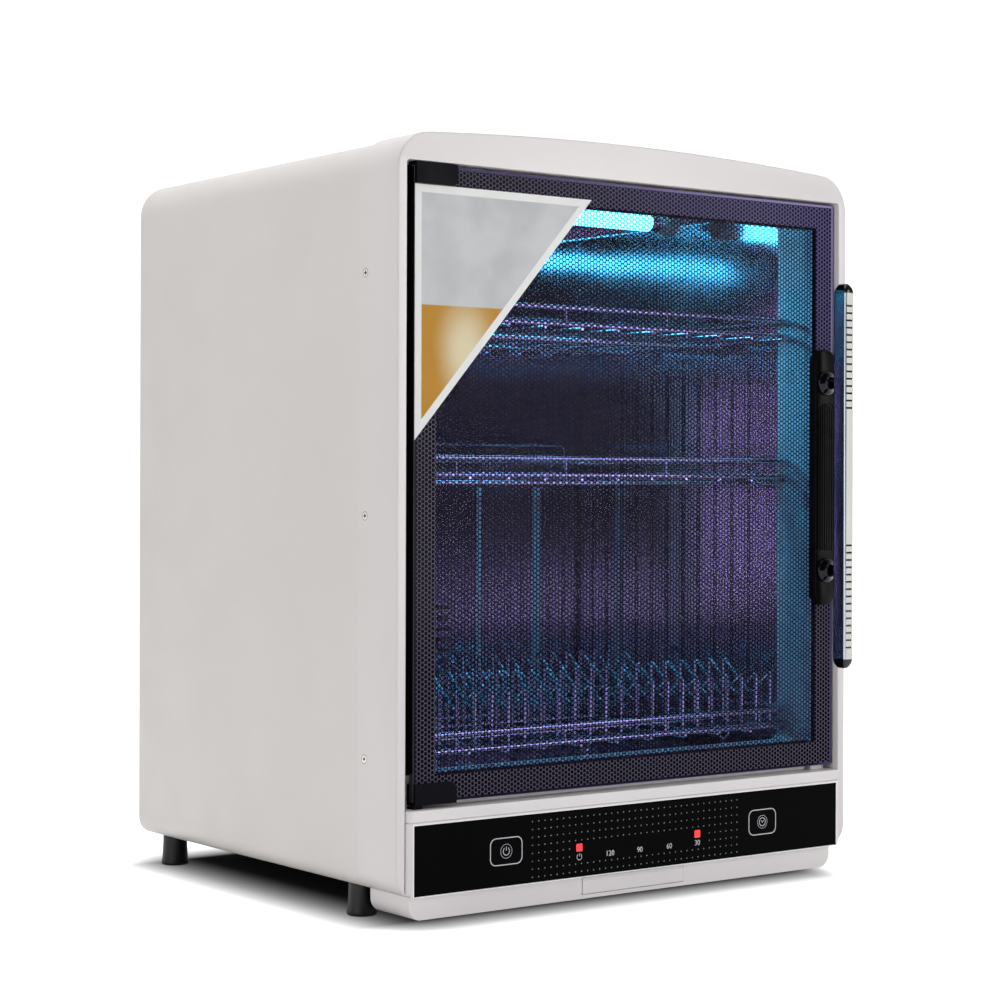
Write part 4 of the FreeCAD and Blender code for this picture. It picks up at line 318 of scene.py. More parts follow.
def glass_shader(g, tint):
    """Thin tinted glass: what is behind shows straight through, with a clear gloss in front."""
    see = g.node("ShaderNodeBsdfTransparent")
    g.feed(see.inputs["Color"], tint)
    gloss = g.node("ShaderNodeBsdfGlossy")
    gloss.inputs["Color"].default_value = (1.0, 1.0, 1.0, 1.0)
    gloss.inputs["Roughness"].default_value = 0.03
    edge = g.node("ShaderNodeFresnel")
    edge.inputs["IOR"].default_value = GLASS_IOR
    return g.blend(edge.outputs[0], see.outputs[0], gloss.outputs[0])


def door_front_material():
    """Tinted glass with a printed net over the window and a printed border round it."""
    g = Graph("door_net")
    x, _, z = g.xyz()
    edge = cell_edge(g, x, z)
    line, thin = (g.ramp(edge, (CELL_TALL - width) / 2 - 0.00012, (CELL_TALL - width) / 2 + 0.00012)
                  for width in (WINDOW_LINE, BORDER_LINE))
    printed = inside(g, x, z, NET_MARGIN)
    window = inside(g, x, z, BORDER, 0.0004)
    cloud = g.ramp(g.noise(14.0, 3.0), 0.3, 0.7)
    tint = g.mix(cloud, (0.66, 0.60, 0.86, 1.0), (0.62, 0.57, 0.83, 1.0))
    # the border is painted lighter towards the top and right and darker towards the bottom (painted
    # light and shade), and its bare rim has a painted highlight at the top and right
    rise = g.times(g.ramp(z, 0.22, 0.57), g.ramp(x, -0.15, 0.19))
    cell = g.mix(rise, srgb(3, 2, 9), srgb(34, 28, 62))
    mesh = g.mix(rise, srgb(98, 91, 112), srgb(112, 104, 144))
    # where the bare rim gets its painted highlight
    far = g.math("MAXIMUM", g.ramp(x, 0.2, 0.222), g.ramp(z, 0.555, 0.577))
    rim = g.mix(far, srgb(26, 22, 40), g.mix(rise, srgb(74, 66, 104), srgb(144, 133, 180)))
    border_cell = g.mix(printed, rim, g.mix(thin, cell, mesh))
    coat = g.principled(Base_Color=g.mix(window, border_cell, srgb(9, 7, 26)), Roughness=0.1,
                        Specular_IOR_Level=0.02)
    # covered: the border everywhere, the window only along the lines
    covered = g.math("ADD", g.math("SUBTRACT", 1.0, window), g.times(line, window))
    return g.finish(g.blend(covered, glass_shader(g, tint), coat))


def door_back_material():
    """The pane's clear back."""
    g = Graph("door_back")
    cloud = g.ramp(g.noise(20.0), 0.3, 0.7)
    return g.finish(glass_shader(g, g.mix(cloud, (0.97, 0.97, 1.0, 1.0), (0.95, 0.95, 0.99, 1.0))))


def door_edge_material():
    """The pane's ground edge, with painted shade on the hinged side that makes it dark there."""
    g = Graph("door_edge")
    cloud = g.ramp(g.noise(90.0, 3.0), 0.3, 0.7)
    base = g.mix(cloud, srgb(84, 74, 124), srgb(104, 94, 144))
    # painted shade: the edge is dark on the hinged side, in the gap's shade
    base = g.mix(g.ramp(g.xyz()[0], -0.214, -0.209), srgb(10, 8, 17), base)
    return g.finish(g.principled(Base_Color=base, Roughness=0.12, Specular_IOR_Level=0.3))


LABEL_EDGE, LABEL_GOLD, LABEL_PAINTED_HIGHLIGHT = 5.8, 472.9, (-169.0, 439.0)
LABEL_RIGHT, LABEL_LOW, LABEL_HIGH = -44.9, 370.2, 563.9


def label_material():
    """Printed film: a white edge, a pale field above and a gold field below."""
    g = Graph("film")
    x, _, z = (g.times(axis, 1000.0) for axis in g.xyz())
    left = DOOR_LEFT + 0.3
    # distance inside the slanted side
    run, rise = LABEL_RIGHT - left, LABEL_HIGH - LABEL_LOW
    length = math.hypot(run, rise)
    slant = g.math("SUBTRACT", g.times(g.math("SUBTRACT", z, LABEL_LOW), run / length),
                   g.times(g.math("SUBTRACT", x, left), rise / length))
    top = LABEL_HIGH - LABEL_EDGE
    field = g.times(g.ramp(slant, LABEL_EDGE - 0.3, LABEL_EDGE + 0.3),
                    g.ramp(x, left + LABEL_EDGE, left + LABEL_EDGE + 0.5),
                    g.ramp(z, top - 0.5, top, 1.0, 0.0))
    # the gold field has a painted highlight: it is pale round one place
    spot = g.distance(g.times(g.math("SUBTRACT", x, LABEL_PAINTED_HIGHLIGHT[0]), 1.25),
                      g.times(g.math("SUBTRACT", z, LABEL_PAINTED_HIGHLIGHT[1]), 0.8))
    spot = g.math("ADD", spot, g.times(g.noise(9.0), 8.0))
    gold = g.mix(g.ramp(spot, 8.0, 46.0), srgb(226, 214, 176), srgb(190, 134, 12))
    pale = g.mix(g.ramp(g.noise(26.0), 0.3, 0.7), srgb(190, 192, 194), srgb(206, 207, 208))
    ground = g.mix(g.ramp(z, LABEL_GOLD - 0.4, LABEL_GOLD + 0.4), gold, pale)
    return g.finish(g.principled(Base_Color=g.mix(field, srgb(238, 238, 236), ground),
                                 Roughness=g.ramp(g.noise(50.0), 0.3, 0.7, 0.22, 0.32),
                                 Specular_IOR_Level=0.1, Normal=g.bump(g.noise(18.0), 0.0002)))


def seal_material():
    """Black rubber, with a pale band on its inner right side that is painted light."""
    g = Graph("seal_rubber")
    black = g.mix(g.ramp(g.noise(9.0, 3.0), 0.35, 0.65), srgb(14, 13, 20), srgb(9, 8, 14))
    # painted light: a pale band where the seal's inner side faces the window
    base = g.mix(g.band(g.xyz()[0], 0.2035, 0.2045, 0.0001), black, srgb(214, 208, 212))
    return g.finish(g.principled(Base_Color=base, Roughness=g.ramp(g.noise(40.0), 0.3, 0.7, 0.45, 0.55),
                                 Normal=g.bump(g.noise(1500.0), 0.00003), Specular_IOR_Level=0.2))


DOOR_FRONT = door_front_material()
SEAL = seal_material()
DOOR_BACK = door_back_material()
DOOR_EDGE = door_edge_material()
LABEL = label_material()


# Mesh making


def piece(name, shell, material, body, slot, smooth=35.0, replaces=""):
    """A piece from a shell, shaded smooth below an angle, riding on a body."""
    mesh = bpy.data.meshes.new(name)
    mesh.from_pydata([tuple(p) for p in shell.points], [], shell.faces)
    mesh.update()
    maker = bmesh.new()
    maker.from_mesh(mesh)
    bmesh.ops.remove_doubles(maker, verts=maker.verts, dist=1e-7)
    bmesh.ops.recalc_face_normals(maker, faces=maker.faces)
    maker.to_mesh(mesh)
    maker.free()
    return place_mesh(name, mesh, material, body, smooth, replaces)


def link(name, data):
    """A new object in the scene."""
    obj = bpy.data.objects.new(name, data)
    bpy.context.scene.collection.objects.link(obj)
    return obj


def place_mesh(name, mesh, material, body, smooth, replaces=""):
    for polygon in mesh.polygons:
        polygon.use_smooth = True
    mesh.set_sharp_from_angle(angle=math.radians(smooth))
    obj = link(name, mesh)
    for item in material if isinstance(material, list) else [material]:
        mesh.materials.append(item)
    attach(obj, body)
    if replaces:
        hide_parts(replaces)
    return obj


class Shell:
    """Points and faces gathered from several parts of one piece."""

    def __init__(self):
        self.points = []
        self.faces = []

    def add(self, points, faces):
        start = len(self.points)
        self.points += [Vector(p) for p in points]
        self.faces += [tuple(start + i for i in face) for face in faces]

    def rings(self, rings, closed=True, cap_first=False, cap_last=False, loop=False):
        """Strips between rings of as many points each."""
        count = len(rings[0])
        points = [p for ring in rings for p in ring]
        last = len(rings) - 1
        pairs = [(a, a + 1) for a in range(last)]
        if loop:
            pairs.append((last, 0))
        faces = []
        for a, b in pairs:
            for i in range(count if closed else count - 1):
                j = (i + 1) % count
                faces.append((a * count + i, a * count + j, b * count + j, b * count + i))
        if cap_first:
            faces += fill(rings[0], 0)
        if cap_last:
            faces += fill(rings[-1], last * count)
        self.add(points, faces)

    def solid(self, rings):
        """Strips between rings, closed at both ends."""
        self.rings(rings, cap_first=True, cap_last=True)


def fill(ring, start):
    """Triangles that fill a flat ring of points."""
    return [tuple(start + i for i in face) for face in tessellate_polygon([ring])]


def arc(cx, cz, radius, first, last, steps):
    """Points on an arc, angles in degrees."""
    out = []
    for index in range(steps + 1):
        angle = math.radians(first + (last - first) * index / steps)
        out.append((cx + radius * math.cos(angle), cz + radius * math.sin(angle)))
    return out


def rounded(left, right, low, high, radii, steps=8):
    """A rectangle with round corners: radii at lower left, lower right, upper right, upper left."""
    a, b, c, d = radii
    return (arc(left + a, low + a, a, 180, 270, steps) + arc(right - b, low + b, b, 270, 360, steps)
            + arc(right - c, high - c, c, 0, 90, steps) + arc(left + d, high - d, d, 90, 180, steps))


def offset(outline, by):
    """An outline moved inwards, point by point; by is one distance or one for each point."""
    count = len(outline)
    turn = sum(a[0] * b[1] - b[0] * a[1] for a, b in zip(outline, outline[1:] + outline[:1]))
    side = 1 if turn > 0 else -1

    def normal(index, way):
        """The inward normal of the side before or after a point; repeated points are passed over."""
        x, z = outline[index]
        for k in range(1, count):
            q = outline[(index + way * k) % count]
            run, rise = (q[0] - x) * way, (q[1] - z) * way
            length = math.hypot(run, rise)
            if length > 1e-6:
                return -rise / length * side, run / length * side

    out = []
    for index, (x, z) in enumerate(outline):
        before, after = normal(index, -1), normal(index, 1)
        mx, mz = before[0] + after[0], before[1] + after[1]
        scale = 2 / max(mx * mx + mz * mz, 0.3)
        distance = by[index] if isinstance(by, list) else by
        out.append((x + mx * scale * distance, z + mz * scale * distance))
    return out


def facing(outline, d):
    """An outline in the X-Z plane at one depth or one depth for each point."""
    if isinstance(d, list):
        return [P(x, depth, z) for (x, z), depth in zip(outline, d)]
    return [P(x, d, z) for x, z in outline]


def quarter(steps):
    """A round edge's steps: how far in from its side and how far back from its front, as shares."""
    angles = [math.pi / 2 * index / steps for index in range(steps + 1)]
    return [(1 - math.sin(angle), 1 - math.cos(angle)) for angle in angles]


def slab(shell, outline, front, back, edge, steps=3):
    """A plate in the X-Z plane whose front edge is round."""
    rings = [facing(offset(outline, edge * inset), front + edge * deep)
             for inset, deep in quarter(steps)]
    shell.solid(rings + [facing(outline, back)])


def lathe(shell, profile, place, axis, steps):
    """A turned form: profile is (radius, distance along the axis); place is in millimetres."""
    order = {"x": (2, 0, 1), "y": (0, 2, 1), "z": (0, 1, 2)}[axis]
    angles = [2 * math.pi * index / steps for index in range(steps)]
    rings = []
    for radius, along in profile:
        spots = [(radius * math.cos(a), radius * math.sin(a), along) for a in angles]
        rings.append([P(*(middle + spot[i] for middle, i in zip(place, order))) for spot in spots])
    shell.solid(rings)


def bend_path(points, radius, steps=4):
    """A line through points in millimetres with its corners rounded."""
    out = [Vector(points[0])]
    for before, corner, after in zip(points, points[1:], points[2:]):
        corner = Vector(corner)
        a = Vector(before) - corner
        b = Vector(after) - corner
        reach = min(radius, a.length * 0.45, b.length * 0.45)
        start = corner + a.normalized() * reach
        end = corner + b.normalized() * reach
        for index in range(steps + 1):
            t = index / steps
            out.append(start * (1 - t) ** 2 + corner * 2 * t * (1 - t) + end * t ** 2)
    out.append(Vector(points[-1]))
    return out


def tube(shell, points, radius, sides=10, closed=False):
    """A round wire along points in millimetres (x, depth, height)."""
    points = [Vector(p) for p in points]
    count = len(points)
    tangents = []
    for i in range(count):
        if closed:
            t = points[(i + 1) % count] - points[(i - 1) % count]
        else:
            t = points[min(i + 1, count - 1)] - points[max(i - 1, 0)]
        tangents.append(t.normalized())
    up = Vector((0, 0, 1)) if abs(tangents[0].z) < 0.9 else Vector((1, 0, 0))
    side = tangents[0].cross(up).normalized()
    rings = []
    for i in range(count):
        side = (side - tangents[i] * side.dot(tangents[i])).normalized()
        other = tangents[i].cross(side)
        ring = []
        for k in range(sides):
            angle = 2 * math.pi * k / sides
            q = points[i] + side * radius * math.cos(angle) + other * radius * math.sin(angle)
            ring.append(P(*q))
        rings.append(ring)
    shell.rings(rings, loop=closed, cap_first=not closed, cap_last=not closed)


def ring_faces(shell, outline, hole, d):
    """A flat face at one depth between an outline and a hole."""
    edges = [facing(outline, d), facing(hole, d)]
    shell.add(edges[0] + edges[1], tessellate_polygon(edges))


# Front frame: arched outline, door recess, window collar

HALF, LOW, SHOULDER, ARCH = 235.0, 26.0, 603.5, 6.8
TOP_ROUND, FOOT_ROUND = 30.0, 18.0
OPEN_HALF, OPEN_TOP, OPEN_ROUND = 226.5, 581.0, 3.0
WINDOW_HALF, WINDOW_LOW, WINDOW_HIGH, WINDOW_ROUND, COLLAR = 203.5, 114.5, 568.0, 8.0, 2.5
FLANGE, FRAME_LIP, FRAME_BACK, FRAME_WALL = 17.0, 20.0, 52.0, 3.0
ARCH_RADIUS = ((HALF - TOP_ROUND) ** 2 + ARCH ** 2) / (2 * ARCH)
CASING_HALF, CASING_TOP, CASING_BACK, SHEET = 233.0, 601.5, 409.0, 1.0


def arched(inset, foot_x=None, steps=10):
    """The frame's outline, counter-clockwise from its lower left; cut off at foot_x if given."""
    centre = SHOULDER + ARCH - ARCH_RADIUS
    corner_x = HALF - TOP_ROUND
    corner_z = centre + math.sqrt((ARCH_RADIUS - TOP_ROUND) ** 2 - corner_x ** 2)
    lean = math.degrees(math.atan2(corner_z - centre, corner_x))
    r, foot = TOP_ROUND - inset, FOOT_ROUND - inset
    side = HALF - FOOT_ROUND
    turn = 0.0 if foot_x is None else math.degrees(math.acos((foot_x - side) / foot))
    right = arc(side, LOW + FOOT_ROUND, foot, -90 if foot_x is None else -turn, 0, steps)
    right += arc(corner_x, corner_z, r, 0, lean, steps)
    top = arc(0, centre, ARCH_RADIUS - inset, lean, 180 - lean, 4 * steps)
    left = [(-x, z) for x, z in reversed(right)]
    return right + top[1:-1] + left


def make_frame():
    """The moulding, with the screws of its material, and the web that closes the arch behind."""
    outer = arched(0.0, OPEN_HALF)
    r = OPEN_ROUND
    inner = ([(-OPEN_HALF, OPEN_TOP - r)] + arc(-OPEN_HALF + r, OPEN_TOP - r, r, 180, 90, 5)[1:]
             + arc(OPEN_HALF - r, OPEN_TOP - r, r, 90, 0, 5))
    outline = outer + inner
    edge = [1.5] * len(outer) + [0.6] * len(inner)
    edge[0] = edge[len(outer) - 1] = 0.8
    shell = Shell()
    rings = [facing(offset(outline, [e * inset for e in edge]), [e * deep for e in edge])
             for inset, deep in quarter(5)]
    shell.solid(rings + [facing(outline, FRAME_LIP)])
    # side band behind the front, down to the casing
    whole = arched(0.0)
    inside_band = offset(whole, FRAME_WALL)
    shell.rings([facing(whole, FRAME_LIP), facing(whole, FRAME_BACK - 0.4),
                 facing(offset(whole, 0.4), FRAME_BACK), facing(inside_band, FRAME_BACK),
                 facing(inside_band, FRAME_LIP)], loop=True)
    # the web that closes the arch above the casing
    web = [point for point in arched(1.5) if point[1] > CASING_TOP - 0.9]
    slab(shell, web, FRAME_BACK - 2.4, FRAME_BACK - 0.4, 0.2)
    # the flange round the window with its collar
    hole, collar = (rounded(-WINDOW_HALF - out, WINDOW_HALF + out, WINDOW_LOW - out, WINDOW_HIGH + out,
                            (WINDOW_ROUND + out,) * 4, 10) for out in (0.0, COLLAR))
    ring_faces(shell, arched(1.0), hole, FLANGE)
    shell.rings([facing(hole, FLANGE), facing(hole, FRAME_BACK), facing(collar, FRAME_BACK),
                 facing(collar, FRAME_LIP)])
    piece("front_frame_moulding", shell, FRAME, "cabinet", "frame_plastic", 32.0, "front_frame")


# Casing: one folded sheet with a lip at the back


def make_casing():
    shell = Shell()

    def path(inset):
        right, low, high = CASING_HALF - inset, LOW + inset, CASING_TOP - inset
        top, foot = 29 - inset, 15 - inset
        half = ([(178.0, low)] + arc(right - foot, low + foot, foot, -90, 0, 8)
                + arc(right - top, high - top, top, 0, 90, 14))
        return half + [(-x, z) for x, z in reversed(half)]

    back = [(0.0, 0.6), (0.12, 0.2), (0.5, 0.0), (0.88, 0.2), (1.0, 0.6)]
    rings = [facing(path(0.0), FRAME_BACK)]
    rings += [facing(path(SHEET * inset), CASING_BACK - short) for inset, short in back]
    rings.append(facing(path(SHEET), FRAME_BACK))
    shell.rings(rings, closed=False, loop=True)
    for end in (0, -1):
        ring = [r[end] for r in rings]
        shell.add(ring, fill([Vector((p.y, p.z, 0)) for p in ring], 0))
    # the lip that the rear panel lies on
    outer, inner = (rounded(-CASING_HALF + by, CASING_HALF - by, LOW + by, CASING_TOP - by,
                            (low_round, low_round, high_round, high_round), 10)
                    for by, low_round, high_round in ((1.0, 14, 28), (13.0, 3, 16)))
    lip = CASING_BACK - 2.0
    shell.rings([facing(outer, lip - 1.0), facing(outer, lip), facing(inner, lip),
                 facing(inner, lip - 1.0)], loop=True)
    piece("casing_sheet", shell, CASING, "cabinet", "casing_paint", replaces="outer_casing")


# Panel housing: ribbed ledge, a seam under it, a pocket for the glass, round upright edges


HOUSE_HALF, HOUSE_BACK, GLASS_FACE, GLASS_POCKET = 226.2, 17.0, -3.75, 2.6
GLASS_HALF, GLASS_LOW, GLASS_TOP = 221.0, 27.0, 80.4
EDGE_TURN, FOOT_HALF = 4.0, 217.0


def make_housing():
    """A solid of level outlines one above the other."""
    shell = Shell()
    rings = []

    def level(z, inset=0.0, dip=0.0):
        """The outline seen from above, cut in by inset, with the glass pocket if dip."""
        drop = max(FOOT_ROUND - (z - LOW), 0)
        side = min(FOOT_HALF + math.sqrt(FOOT_ROUND ** 2 - drop ** 2), HOUSE_HALF - inset)
        turn = arc(EDGE_TURN - HOUSE_HALF, GLASS_FACE + EDGE_TURN, EDGE_TURN - inset, 180, 270, 6)
        bevel = 0.45
        left = [(-side, HOUSE_BACK)] + [(max(x, -side), d) for x, d in turn]
        left += [(-GLASS_HALF - bevel, GLASS_FACE + inset),
                 (-GLASS_HALF, GLASS_FACE + inset + (bevel if dip else 0.0)),
                 (-GLASS_HALF, GLASS_FACE + inset + dip)]
        rings.append([P(x, d, z) for x, d in left + [(-x, d) for x, d in reversed(left)]])

    for z in (LOW, LOW + 0.3, LOW + 0.7):
        level(z, max(0.5 - (z - LOW), 0.0))
    for z, dip in ((GLASS_LOW, 0.0), (GLASS_LOW, GLASS_POCKET), (GLASS_LOW + 1.7, GLASS_POCKET),
                   (GLASS_TOP, GLASS_POCKET), (GLASS_TOP, 0.0)):
        level(z, 0.0, dip)
    # the seam, five fine ribs and the ledge's round edge
    for z, inset in ((82.3, 0.0), (82.4, 0.25), (82.45, 1.2), (83.05, 1.2), (83.1, 0.25), (83.2, 0.0)):
        level(z, inset)
    for index in range(5):
        for rise, inset in ((-0.3, 0.0), (0.0, 0.1), (0.3, 0.0)):
            level(84.2 + 1.5 * index + rise, inset)
    for z, inset in ((90.7, 0.0), (91.1, 0.12), (91.35, 0.35), (91.5, 0.8)):
        level(z, inset)
    shell.solid(rings)
    piece("panel_housing", shell, HOUSING, "cabinet", "housing_plastic", 25.0,
          "control_housing")


# Hinge side strip, feet, pane


def make_hinge_strip():
    """A black strip on the flange in the gap beside the door's hinged edge: a dark sheet that gives that
    gap its painted shade.
    """
    shell = Shell()
    slab(shell, rounded(-225.8, -207.6, 116.0, 579.0, (0.6,) * 4, 2), FLANGE - 0.7, FLANGE + 0.2, 0.3)
    piece("hinge_side_strip", shell, RUBBER, "cabinet", "seal_rubber")


def make_feet():
    shell = Shell()
    profile = ((9.8, 0.0), (11.0, 0.25), (11.7, 0.9), (12.0, 2.0), (11.9, 3.2), (11.3, 6.0),
               (10.9, 12.0), (10.6, 20.0), (10.5, LOW))
    for x in (-210, 210):
        for d in (84, 384):
            lathe(shell, profile, (x, d, 0), "z", 40)
    piece("rubber_feet", shell, RUBBER, "cabinet", "foot_rubber", 50.0, "feet")


def make_pane():
    """The pane: its front carries the net and border, its edges are ground."""
    outline = rounded(DOOR_LEFT, DOOR_RIGHT, DOOR_LOW, DOOR_HIGH, (2.0,) * 4, 6)
    front, back, ease = 5.0, 10.2, 0.45
    shell = Shell()
    shell.solid([facing(offset(outline, ease), front), facing(outline, front + ease),
                 facing(outline, back - ease), facing(offset(outline, ease), back)])
    pane = piece("door_pane", shell, [DOOR_FRONT, DOOR_EDGE, DOOR_BACK], "door", "door_glass", 20.0,
                 "door_glass")
    for polygon in pane.data.polygons:
        ys = [pane.data.vertices[v].co.y for v in polygon.vertices]
        polygon.material_index = 0 if max(ys) < Y(front + 0.01) else 2 if min(ys) > Y(back - 0.01) else 1
    return pane


# Wire racks: rims, uprights between them, a floor of wires on braces

RIM, WIRE, POST = 2.0, 1.5, 1.15
FLAT = math.sqrt(0.75)
RACK_HALF, RACK_FRONT, RACK_BACK, RACK_DROP = 200.0, 27.0, 318.0, 13.3


RACK_MIDDLE = (RACK_FRONT + RACK_BACK) / 2
FLOOR_EDGE = RACK_HALF - 14
ROW_STARTS, ROW_DEEP, DIVIDER_PITCH, DIVIDER_HALF_COUNT = (40, 180), 60, 16.7, 11
FRONT_HUMP, NOTCH, REAR_HUMP = 176.0, 155.0, 185.0


def rack_wires(shell, top, brace_step):
    """Two rims, the floor and its braces; gives the braces' height."""
    low = top - RACK_DROP
    outline = rounded(-RACK_HALF, RACK_HALF, RACK_FRONT, RACK_BACK, (12.0,) * 4, 6)
    for z in (top, low):
        tube(shell, [(x, d, z) for x, d in outline], RIM, 12, True)
    spots = [(x, RACK_FRONT) for x in (-160, -53.3, 53.3, 160)]
    spots += [(-160, RACK_BACK), (160, RACK_BACK), (-RACK_HALF, RACK_MIDDLE), (RACK_HALF, RACK_MIDDLE)]
    for x, d in spots:
        tube(shell, [(x, d, low + 1.2), (x, d, top - 1.2)], POST, 8)
    floor = low - FLAT * (RIM + WIRE)
    for index in range(11):
        x = -FLOOR_EDGE + 2 * FLOOR_EDGE * index / 10
        tube(shell, [(x, RACK_FRONT - 1.6, floor), (x, RACK_BACK + 1.6, floor)], WIRE, 10)
    brace = floor - FLAT * (WIRE + RIM)
    for d in (RACK_MIDDLE - brace_step, RACK_MIDDLE + brace_step):
        tube(shell, [(-FLOOR_EDGE - 4, d, brace), (FLOOR_EDGE + 4, d, brace)], RIM, 12)
    return brace


def make_racks():
    finish = (CHROME, "plate_rack_body", "wire_chrome", 60.0)
    ends = RACK_HALF - 24
    for name, top in (("upper_rack", 479.0), ("middle_rack", 357.8)):
        shell = Shell()
        rack_wires(shell, top, 60)
        tube(shell, bend_path([(-ends, RACK_BACK, top + 1), (-ends, RACK_BACK, top + 16),
                               (ends, RACK_BACK, top + 16), (ends, RACK_BACK, top + 1)], 6), POST, 8)
        piece(name + "_wires", shell, CHROME, name + "_body", "wire_chrome", 60.0, name)
    # the plate rack stands on bent wires and carries the dividers on cross wires
    shell = Shell()
    top, brace_step = 143.5, 105
    brace = rack_wires(shell, top, brace_step)
    ground = 114.5 + 0.3 + WIRE
    for x in (-155, 0, 155):
        for d in (RACK_MIDDLE - brace_step, RACK_MIDDLE + brace_step):
            tube(shell, bend_path([(x - 6, d, brace), (x - 3, d, ground), (x + 3, d, ground),
                                   (x + 6, d, brace)], 1.5, 3), WIRE, 8)
    floor_top = top - RACK_DROP - FLAT * RIM
    cross = floor_top + FLAT * WIRE
    for start in ROW_STARTS:
        for d in (start, start + ROW_DEEP):
            tube(shell, [(-FLOOR_EDGE, d, cross), (FLOOR_EDGE, d, cross)], WIRE, 10)
    piece("plate_rack_wires", shell, *finish, "plate_rack")
    shell = Shell()
    seat = cross + FLAT * WIRE - 0.8
    for start in ROW_STARTS:
        end = start + ROW_DEEP
        for index in range(-DIVIDER_HALF_COUNT, DIVIDER_HALF_COUNT + 1):
            x = index * DIVIDER_PITCH
            tube(shell, bend_path([(x, start, seat), (x, start, FRONT_HUMP), (x, start + 25, NOTCH),
                                   (x, end, REAR_HUMP), (x, end, seat)], 5), WIRE, 8)
    piece("divider_wires", shell, *finish, "plate_dividers")


# Lamp: glass tube and metal end caps

LAMP_PLACE = (0, 164, 573.5)


def make_lamp():
    shell = Shell()
    lathe(shell, ((7.4, -150.0), (8.0, -148.6), (8.0, 148.6), (7.4, 150.0)), LAMP_PLACE, "x", 32)
    piece("lamp_tube", shell, LAMP, "cabinet", "lamp_glass", 50.0, "uv_lamp")
    shell = Shell()
    for way in (-1, 1):
        profile = ((7.9, 149.0), (7.9, 163.6), (7.3, 165.2), (6.2, 165.9))
        lathe(shell, [(r, way * along) for r, along in profile], LAMP_PLACE, "x", 32)
    piece("lamp_end_caps", shell, MIRROR, "cabinet", "mirror_alu", 40.0)


# Handle: turned posts, ribbed base, stepped bar, light strip, domed caps

HANDLE_X, POST_HEIGHTS = 208.5, (263.9, 424.6)
BASE_LOW, BASE_HIGH, BASE_HALF, BASE_FRONT, BASE_SUNK = 234.0, 453.5, 12.0, -3.0, -2.2
FIELD_HALF, FIELD_LOW, FIELD_HIGH, RIBS, RIB_PITCH = 10.2, 280.0, 408.5, 7, 2.75


def make_handle():
    shell = Shell()
    profile = ((10.1, -3.0), (10.5, -3.4), (10.5, -4.6), (10.1, -5.4), (8.6, -6.6), (6.4, -8.0),
               (5.2, -9.6), (4.8, -11.5), (4.8, -16.3))
    for z in POST_HEIGHTS:
        lathe(shell, profile, (HANDLE_X, 0, z), "y", 40)
    piece("handle_turned_posts", shell, DARK_CHROME, "door", "knob_chrome", 35.0, "handle_posts")
    make_handle_base()
    make_handle_bar()


def make_handle_base():
    """The plate under the posts: a ribbed field between them, sunk into its face."""
    x = HANDLE_X
    outline = rounded(x - BASE_HALF, x + BASE_HALF, BASE_LOW, BASE_HIGH, (BASE_HALF - 0.2,) * 4, 10)
    face = offset(outline, 0.6)
    field = rounded(x - FIELD_HALF, x + FIELD_HALF, FIELD_LOW, FIELD_HIGH, (3.0, 3.0, 8.0, 8.0), 6)
    shell = Shell()
    shell.rings([facing(face, BASE_FRONT), facing(offset(outline, 0.2), BASE_FRONT + 0.2),
                 facing(outline, BASE_FRONT + 0.6), facing(outline, 4.97)], cap_last=True)
    ring_faces(shell, face, field, BASE_FRONT)
    shell.rings([facing(field, BASE_FRONT), facing(offset(field, 0.15), BASE_SUNK)], cap_last=True)
    for index in range(RIBS):
        off = index - RIBS // 2
        middle = x + off * RIB_PITCH
        top = FIELD_HIGH - 0.9 - 0.55 * abs(off) ** 2
        rib = rounded(middle - 0.8, middle + 0.8, FIELD_LOW + 1.0, top, (0.7,) * 4, 3)
        slab(shell, rib, BASE_FRONT + 0.05, BASE_SUNK + 0.02, 0.3, 2)
    piece("handle_ribbed_base", shell, HANDLE, "door", "handle_black", 30.0, "handle_base")


BAR_HALF, BAR_FRONT, BAR_BACK, BAR_ROUND = 5.25, -31.6, -16.1, 2.5
BAR_LOW, BAR_HIGH, BAR_CAP = 181.1, 508.6, 8.0
STRIP_LEFT, STRIP_DEEP = -3.9, 1.2
GRIPS, GRIP_PITCH, GRIP_HALF, GRIPS_ABOVE, GRIPS_BELOW = 15, 6.2, 0.85, 10.0, 11.0


